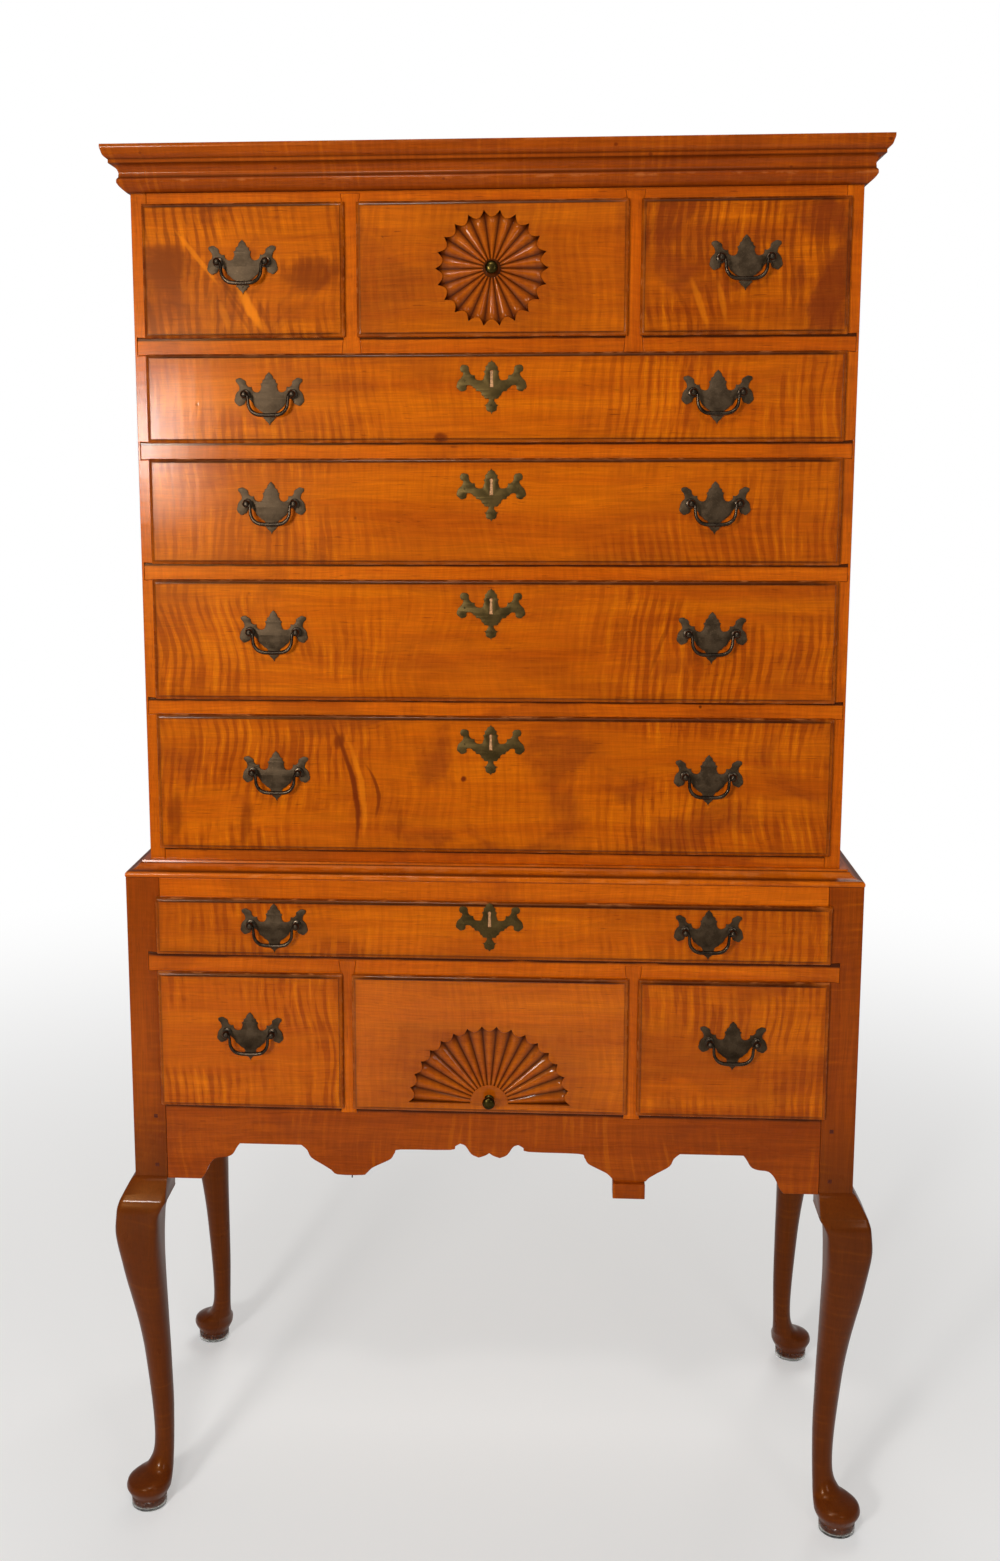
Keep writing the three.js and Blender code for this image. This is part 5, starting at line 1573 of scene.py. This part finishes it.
def joined_mesh(name, meshes, wear):
    """Joins meshes, each with its own wear."""
    work = bmesh.new()
    for mesh, worn in zip(meshes, wear):
        set_values(mesh, "wear", [worn] * len(mesh.vertices))
        work.from_mesh(mesh)
    result = bpy.data.meshes.new(name)
    work.to_mesh(result)
    work.free()
    return result


def post_shape(x):
    """A post with a ball that holds an end of the bail."""
    ball = arc(BALL, *BALL_ARC, (0.0, PIVOT_OUT))[:-1]
    profile = POST_PROFILE + [(radius, -along) for radius, along in ball]
    return turned_shape(profile, (x, 0.0, 0.0), "y", POST_SIDES)


def keyhole(radius, top, bottom, narrow, wide):
    """A keyhole: a round top, a waist and a wider foot."""
    waist = top - WAIST_SHARE * radius
    points = arc(radius, *KEYHOLE_ARC, (0.0, top - radius))
    return points + [(-narrow, waist), (-wide, bottom), (wide, bottom), (narrow, waist)]


def pins_mesh(thick, places, radius):
    """Domed heads of pins on a plate."""
    profile = [(radius, PIN_SUNK - thick)]
    for share, rise in PIN_SHARES:
        profile.append((radius * share, -thick - PIN_RISE * rise))
    shapes = [turned_shape(profile, (x, 0.0, z), "y", PIN_SIDES) for x, z in places]
    return mesh_from("pins", shapes_joined(shapes))


def bail_shape():
    """A round rod along the bail's line."""
    half = smoothed(BAIL_HALF, limit=BAIL_TURN)
    line = half + [(-x, z, radius) for x, z, radius in half[:-1]][::-1]
    rings = []
    for k, (x, z, radius) in enumerate(line):
        before, after = line[max(k - 1, 0)], line[min(k + 1, len(line) - 1)]
        along = Vector((after[0] - before[0], after[1] - before[1])).normalized()
        ring = []
        for step in range(BAIL_SIDES):
            angle = 2 * math.pi * step / BAIL_SIDES
            c, s = radius * math.cos(angle), radius * math.sin(angle)
            ring.append((x - along.y * c, s, z + along.x * c))
        rings.append(ring)
    return loft(rings)


def pull_mesh():
    plate = plate_mesh("plate", [mirrored_outline(PLATE_CORNERS)], PLATE_THICK, PLATE_EDGE)
    posts = shapes_joined([post_shape(side * PULL_SPACING / 2) for side, _ in SIDES])
    meshes = [plate, mesh_from("posts", posts), pins_mesh(PLATE_THICK, *PLATE_PINS)]
    return joined_mesh("pull_plate", meshes, PULL_WEAR.values())


def key_mesh():
    loops = [mirrored_outline(KEY_CORNERS), keyhole(*KEYHOLE)]
    meshes = [plate_mesh("key", loops, KEY_THICK, KEY_EDGE), pins_mesh(KEY_THICK, *KEY_PINS)]
    return joined_mesh("key_plate", meshes, KEY_WEAR.values())


def add_brass(name, source, origin, body, material, replaced=(), sharp=SHARP_ANGLE):
    """A copy of a mesh at a place in millimetres."""
    mesh = source.copy()
    mesh.name = name
    mesh.transform(Matrix.Translation(Vector(origin) * MM))
    finished(put_in_scene(name, mesh), body, material, replaced, sharp=sharp)


def field_of(drawer):
    return FACE[DRAWERS[drawer][0]] - FIT - LIP_PROUD


# Rows of pulls that are made together, on the left and then on the right: each pull's distance
# from the middle, and its height over the middle of its drawer
PULLS = [
    {"wide_1": (283.0, 15.5)}, {"wide_2": (283.0, 11.5)}, {"wide_3": (283.0, 10.5)},
    {"wide_4": (283.0, 5.0)}, {"top": (314.0, 9.5), "shallow": (285.0, 6.0), "deep": (320.0, 13.0)},
]
ESCUTCHEONS = {"wide_4": 1550.0, "wide_3": 1415.0, "wide_2": 1263.0, "wide_1": 1085.0, "shallow": 854.5}
LOW_KNOB = 617.0


def add_pull(name, drawer, x, rise, plate, bail):
    y, z = field_of(drawer) - FIT, sum(DRAWERS[drawer][2]) / 2 + rise
    body, node = "body_drawer_" + drawer, "plate_" + name
    add_brass("pull_plate_" + name, plate, (x, y, z), body, BRASS, [node], FLAT_ANGLE)
    origin, body = (x, y - PIVOT_OUT, z), "body_bail_" + name
    add_brass("pull_bail_" + name, bail, origin, body, RUBBED_BRASS, ["bail_" + name])


def add_pulls():
    """Two pulls in each row: a wide drawer has both, the others have one each."""
    plate, bail = pull_mesh(), mesh_from("pull_bail", bail_shape())
    for rows in PULLS:
        for side, label in SIDES:
            for row, (away, rise) in rows.items():
                name = row + "_" + label
                drawer = row if row in DRAWERS else name
                add_pull(name, drawer, side * away, rise, plate, bail)


def add_escutcheons():
    source = key_mesh()
    for drawer, z in ESCUTCHEONS.items():
        field, body = field_of(drawer), "body_drawer_" + drawer
        origin = (0.0, field - KEY_SUNK, z)
        add_brass("key_plate_" + drawer, source, origin, body, KEY_BRASS, (), FLAT_ANGLE)
        hole = [(x, z + up) for x, up in keyhole(*KEYHOLE_INSERT)]
        insert = prism(hole, "y", *[field + y for y in INSERT_YS])
        piece("keyhole_" + drawer, insert, body, BARE_WOOD)


def add_knob(node, drawer, sunk, z):
    shape = turned_shape(KNOB_PROFILE, (0.0, field_of(drawer) + sunk, z), "y", KNOB_SIDES)
    piece("brass_" + node, shape, "body_drawer_" + drawer, KNOB_BRASS, [node])


add_pulls()
add_escutcheons()
add_knob("knob_top", "top_centre", WHEEL_FLOOR, WHEEL["z"])
add_knob("knob_deep", "deep_centre", 0.0, LOW_KNOB)


# Pegs, and the nail of the lost pendant, whose profile is radius and height
PEG_X = 454.0
PEG_LEVELS = (579.0, 509.0)
PEG_HALF = 2.6
PEG_EDGE = 0.3
PEG_YS = (BASE_FRONT - 0.35, BASE_FRONT + 2.0)
NAIL_PLACE = (-187.0, BASE_FRONT + 8.0, 0.0)
NAIL_PROFILE = [(0.9, 494.0), (0.8, 503.0)]
NAIL_SIDES = 10


def add_pegs():
    for side, label in SIDES:
        for k, z in enumerate(PEG_LEVELS):
            xs = (side * PEG_X - PEG_HALF, side * PEG_X + PEG_HALF)
            shape = box_shape(xs, PEG_YS, (z - PEG_HALF, z + PEG_HALF))
            piece("peg_%s_%d" % (label, k + 1), shape, "base", PEG_WOOD, (), PEG_EDGE)
    nail = turned_shape(NAIL_PROFILE, NAIL_PLACE, "z", NAIL_SIDES)
    piece("pendant_nail", nail, "base", IRON)


add_pegs()


# Studio: floor and backdrop are white where the camera sees them, also through clear things
WHITE = (1, 1, 1)
FLOOR_HALF = 40000.0
FLOOR_LEVEL = -0.4
FLOOR_COLOR = (0.88, 0.87, 0.85)
FLOOR_ROUGHNESS, FLOOR_SPECULAR = 0.9, 0.1
# The floor grows white between these distances in metres, from this share
FLOOR_FADE = (0.5, 3.4, 0.3)
SKY_LIGHT = 0.24
# Each lamp's place, target, size and power, in metres and watts
LAMPS = {
    "key": ((-1.32, -3.0, 1.53), (0.0, 0.0, 1.15), (0.62, 0.46), 31.0),
    "spark": ((-1.2, -2.95, 1.53), (0.0, 0.0, 1.3), (0.25, 0.2), 19.0),
    "ceiling": ((-0.35, -2.2, 3.0), (0.0, 0.0, 1.0), (0.35, 0.25), 14.0),
    "overhead": ((-0.3, -2.1, 3.3), (0.0, 0.0, 1.0), (2.0, 1.4), 14.0),
    "fill": ((1.5, -3.1, 1.4), (0.0, 0.0, 1.0), (0.7, 1.0), 11.0),
    "back": ((0.5, 3.0, 4.2), (0.0, 0.3, 1.0), (2.4, 2.4), 70.0),
}


def seen_by_camera(net):
    rays = net.add("LightPath").outputs
    return net.math("MAXIMUM", rays["Is Camera Ray"], rays["Is Transmission Ray"])


def add_floor():
    corners = [(-1, -1), (1, -1), (1, 1), (-1, 1)]
    points = [(x * FLOOR_HALF, y * FLOOR_HALF, FLOOR_LEVEL) for x, y in corners]
    floor = put_in_scene("floor", mesh_from("floor", (points, [(0, 1, 2, 3)])))
    material, net, surface = new_material("studio_floor")
    net.put(surface.inputs["Base Color"], FLOOR_COLOR)
    surface.inputs["Roughness"].default_value = FLOOR_ROUGHNESS
    surface.inputs["Specular IOR Level"].default_value = FLOOR_SPECULAR
    far = net.add("VectorMath", {0: net.place()}, operation="LENGTH").outputs["Value"]
    shown = net.times(net.band(far, *FLOOR_FADE), seen_by_camera(net))
    white = net.add("Emission", {"Color": WHITE, "Strength": 1.0})
    mixed = net.add("MixShader", {0: shown, 1: surface.outputs[0], 2: white.outputs[0]})
    out = next(node for node in material.node_tree.nodes if node.type == "OUTPUT_MATERIAL")
    net.put(out.inputs["Surface"], mixed.outputs[0])
    floor.data.materials.append(material)


def add_world():
    world = bpy.data.worlds.new("studio")
    bpy.context.scene.world = world
    world.use_nodes = True
    world.node_tree.nodes.clear()
    net = Net(world.node_tree)
    white = net.add("Background", {"Color": WHITE, "Strength": 1.0})
    soft = net.add("Background", {"Color": WHITE, "Strength": SKY_LIGHT})
    mixed = net.add("MixShader", {0: seen_by_camera(net), 1: soft.outputs[0], 2: white.outputs[0]})
    net.add("OutputWorld", {"Surface": mixed.outputs[0]})


def add_lamp(name, place, target, size, power):
    lamp = bpy.data.lights.new(name, "AREA")
    lamp.shape = "RECTANGLE"
    lamp.size, lamp.size_y = size
    lamp.energy = power
    thing = put_in_scene(name, lamp)
    thing.location = place
    thing.rotation_euler = (Vector(target) - Vector(place)).to_track_quat("-Z", "Y").to_euler()


add_floor()
add_world()
for lamp_name, lamp_values in LAMPS.items():
    add_lamp(lamp_name, *lamp_values)


# Camera, as the photograph was taken: it looks slightly down and to the left. Its focal length
# and middle are in pixels of the photograph, and its place and reach in metres.
FOCAL = 1648.0
PHOTO_WIDTH, PHOTO_HEIGHT = 1000.0, 1561.0
PRINCIPAL = (447.0, 727.0)
PITCH, YAW, ROLL = math.radians(9.09), math.radians(-3.70), math.radians(0.11)
CAMERA_PLACE = (0.080, -2.3305, 1.455)
SENSOR_WIDTH = 36.0
NEAREST, FARTHEST = 0.05, 200.0


def add_camera():
    camera = bpy.data.cameras.new("camera")
    camera.sensor_fit = "AUTO"
    camera.sensor_width = SENSOR_WIDTH
    camera.lens = FOCAL / PHOTO_HEIGHT * SENSOR_WIDTH
    camera.shift_x = (PHOTO_WIDTH / 2 - PRINCIPAL[0]) / PHOTO_HEIGHT
    camera.shift_y = (PRINCIPAL[1] - PHOTO_HEIGHT / 2) / PHOTO_HEIGHT
    camera.clip_start, camera.clip_end = NEAREST, FARTHEST
    thing = put_in_scene("camera", camera)
    level = math.cos(PITCH)
    ahead = Vector((math.sin(YAW) * level, math.cos(YAW) * level, -math.sin(PITCH)))
    right = Vector((math.cos(YAW), -math.sin(YAW), 0.0))
    down = ahead.cross(right)
    turned_right = right * math.cos(ROLL) + down * math.sin(ROLL)
    turned_down = down * math.cos(ROLL) - right * math.sin(ROLL)
    rotation = Matrix((turned_right, -turned_down, -ahead)).transposed()
    thing.matrix_world = Matrix.Translation(CAMERA_PLACE) @ rotation.to_4x4()
    bpy.context.scene.camera = thing


add_camera()
bpy.context.scene.view_settings.view_transform = "Standard"
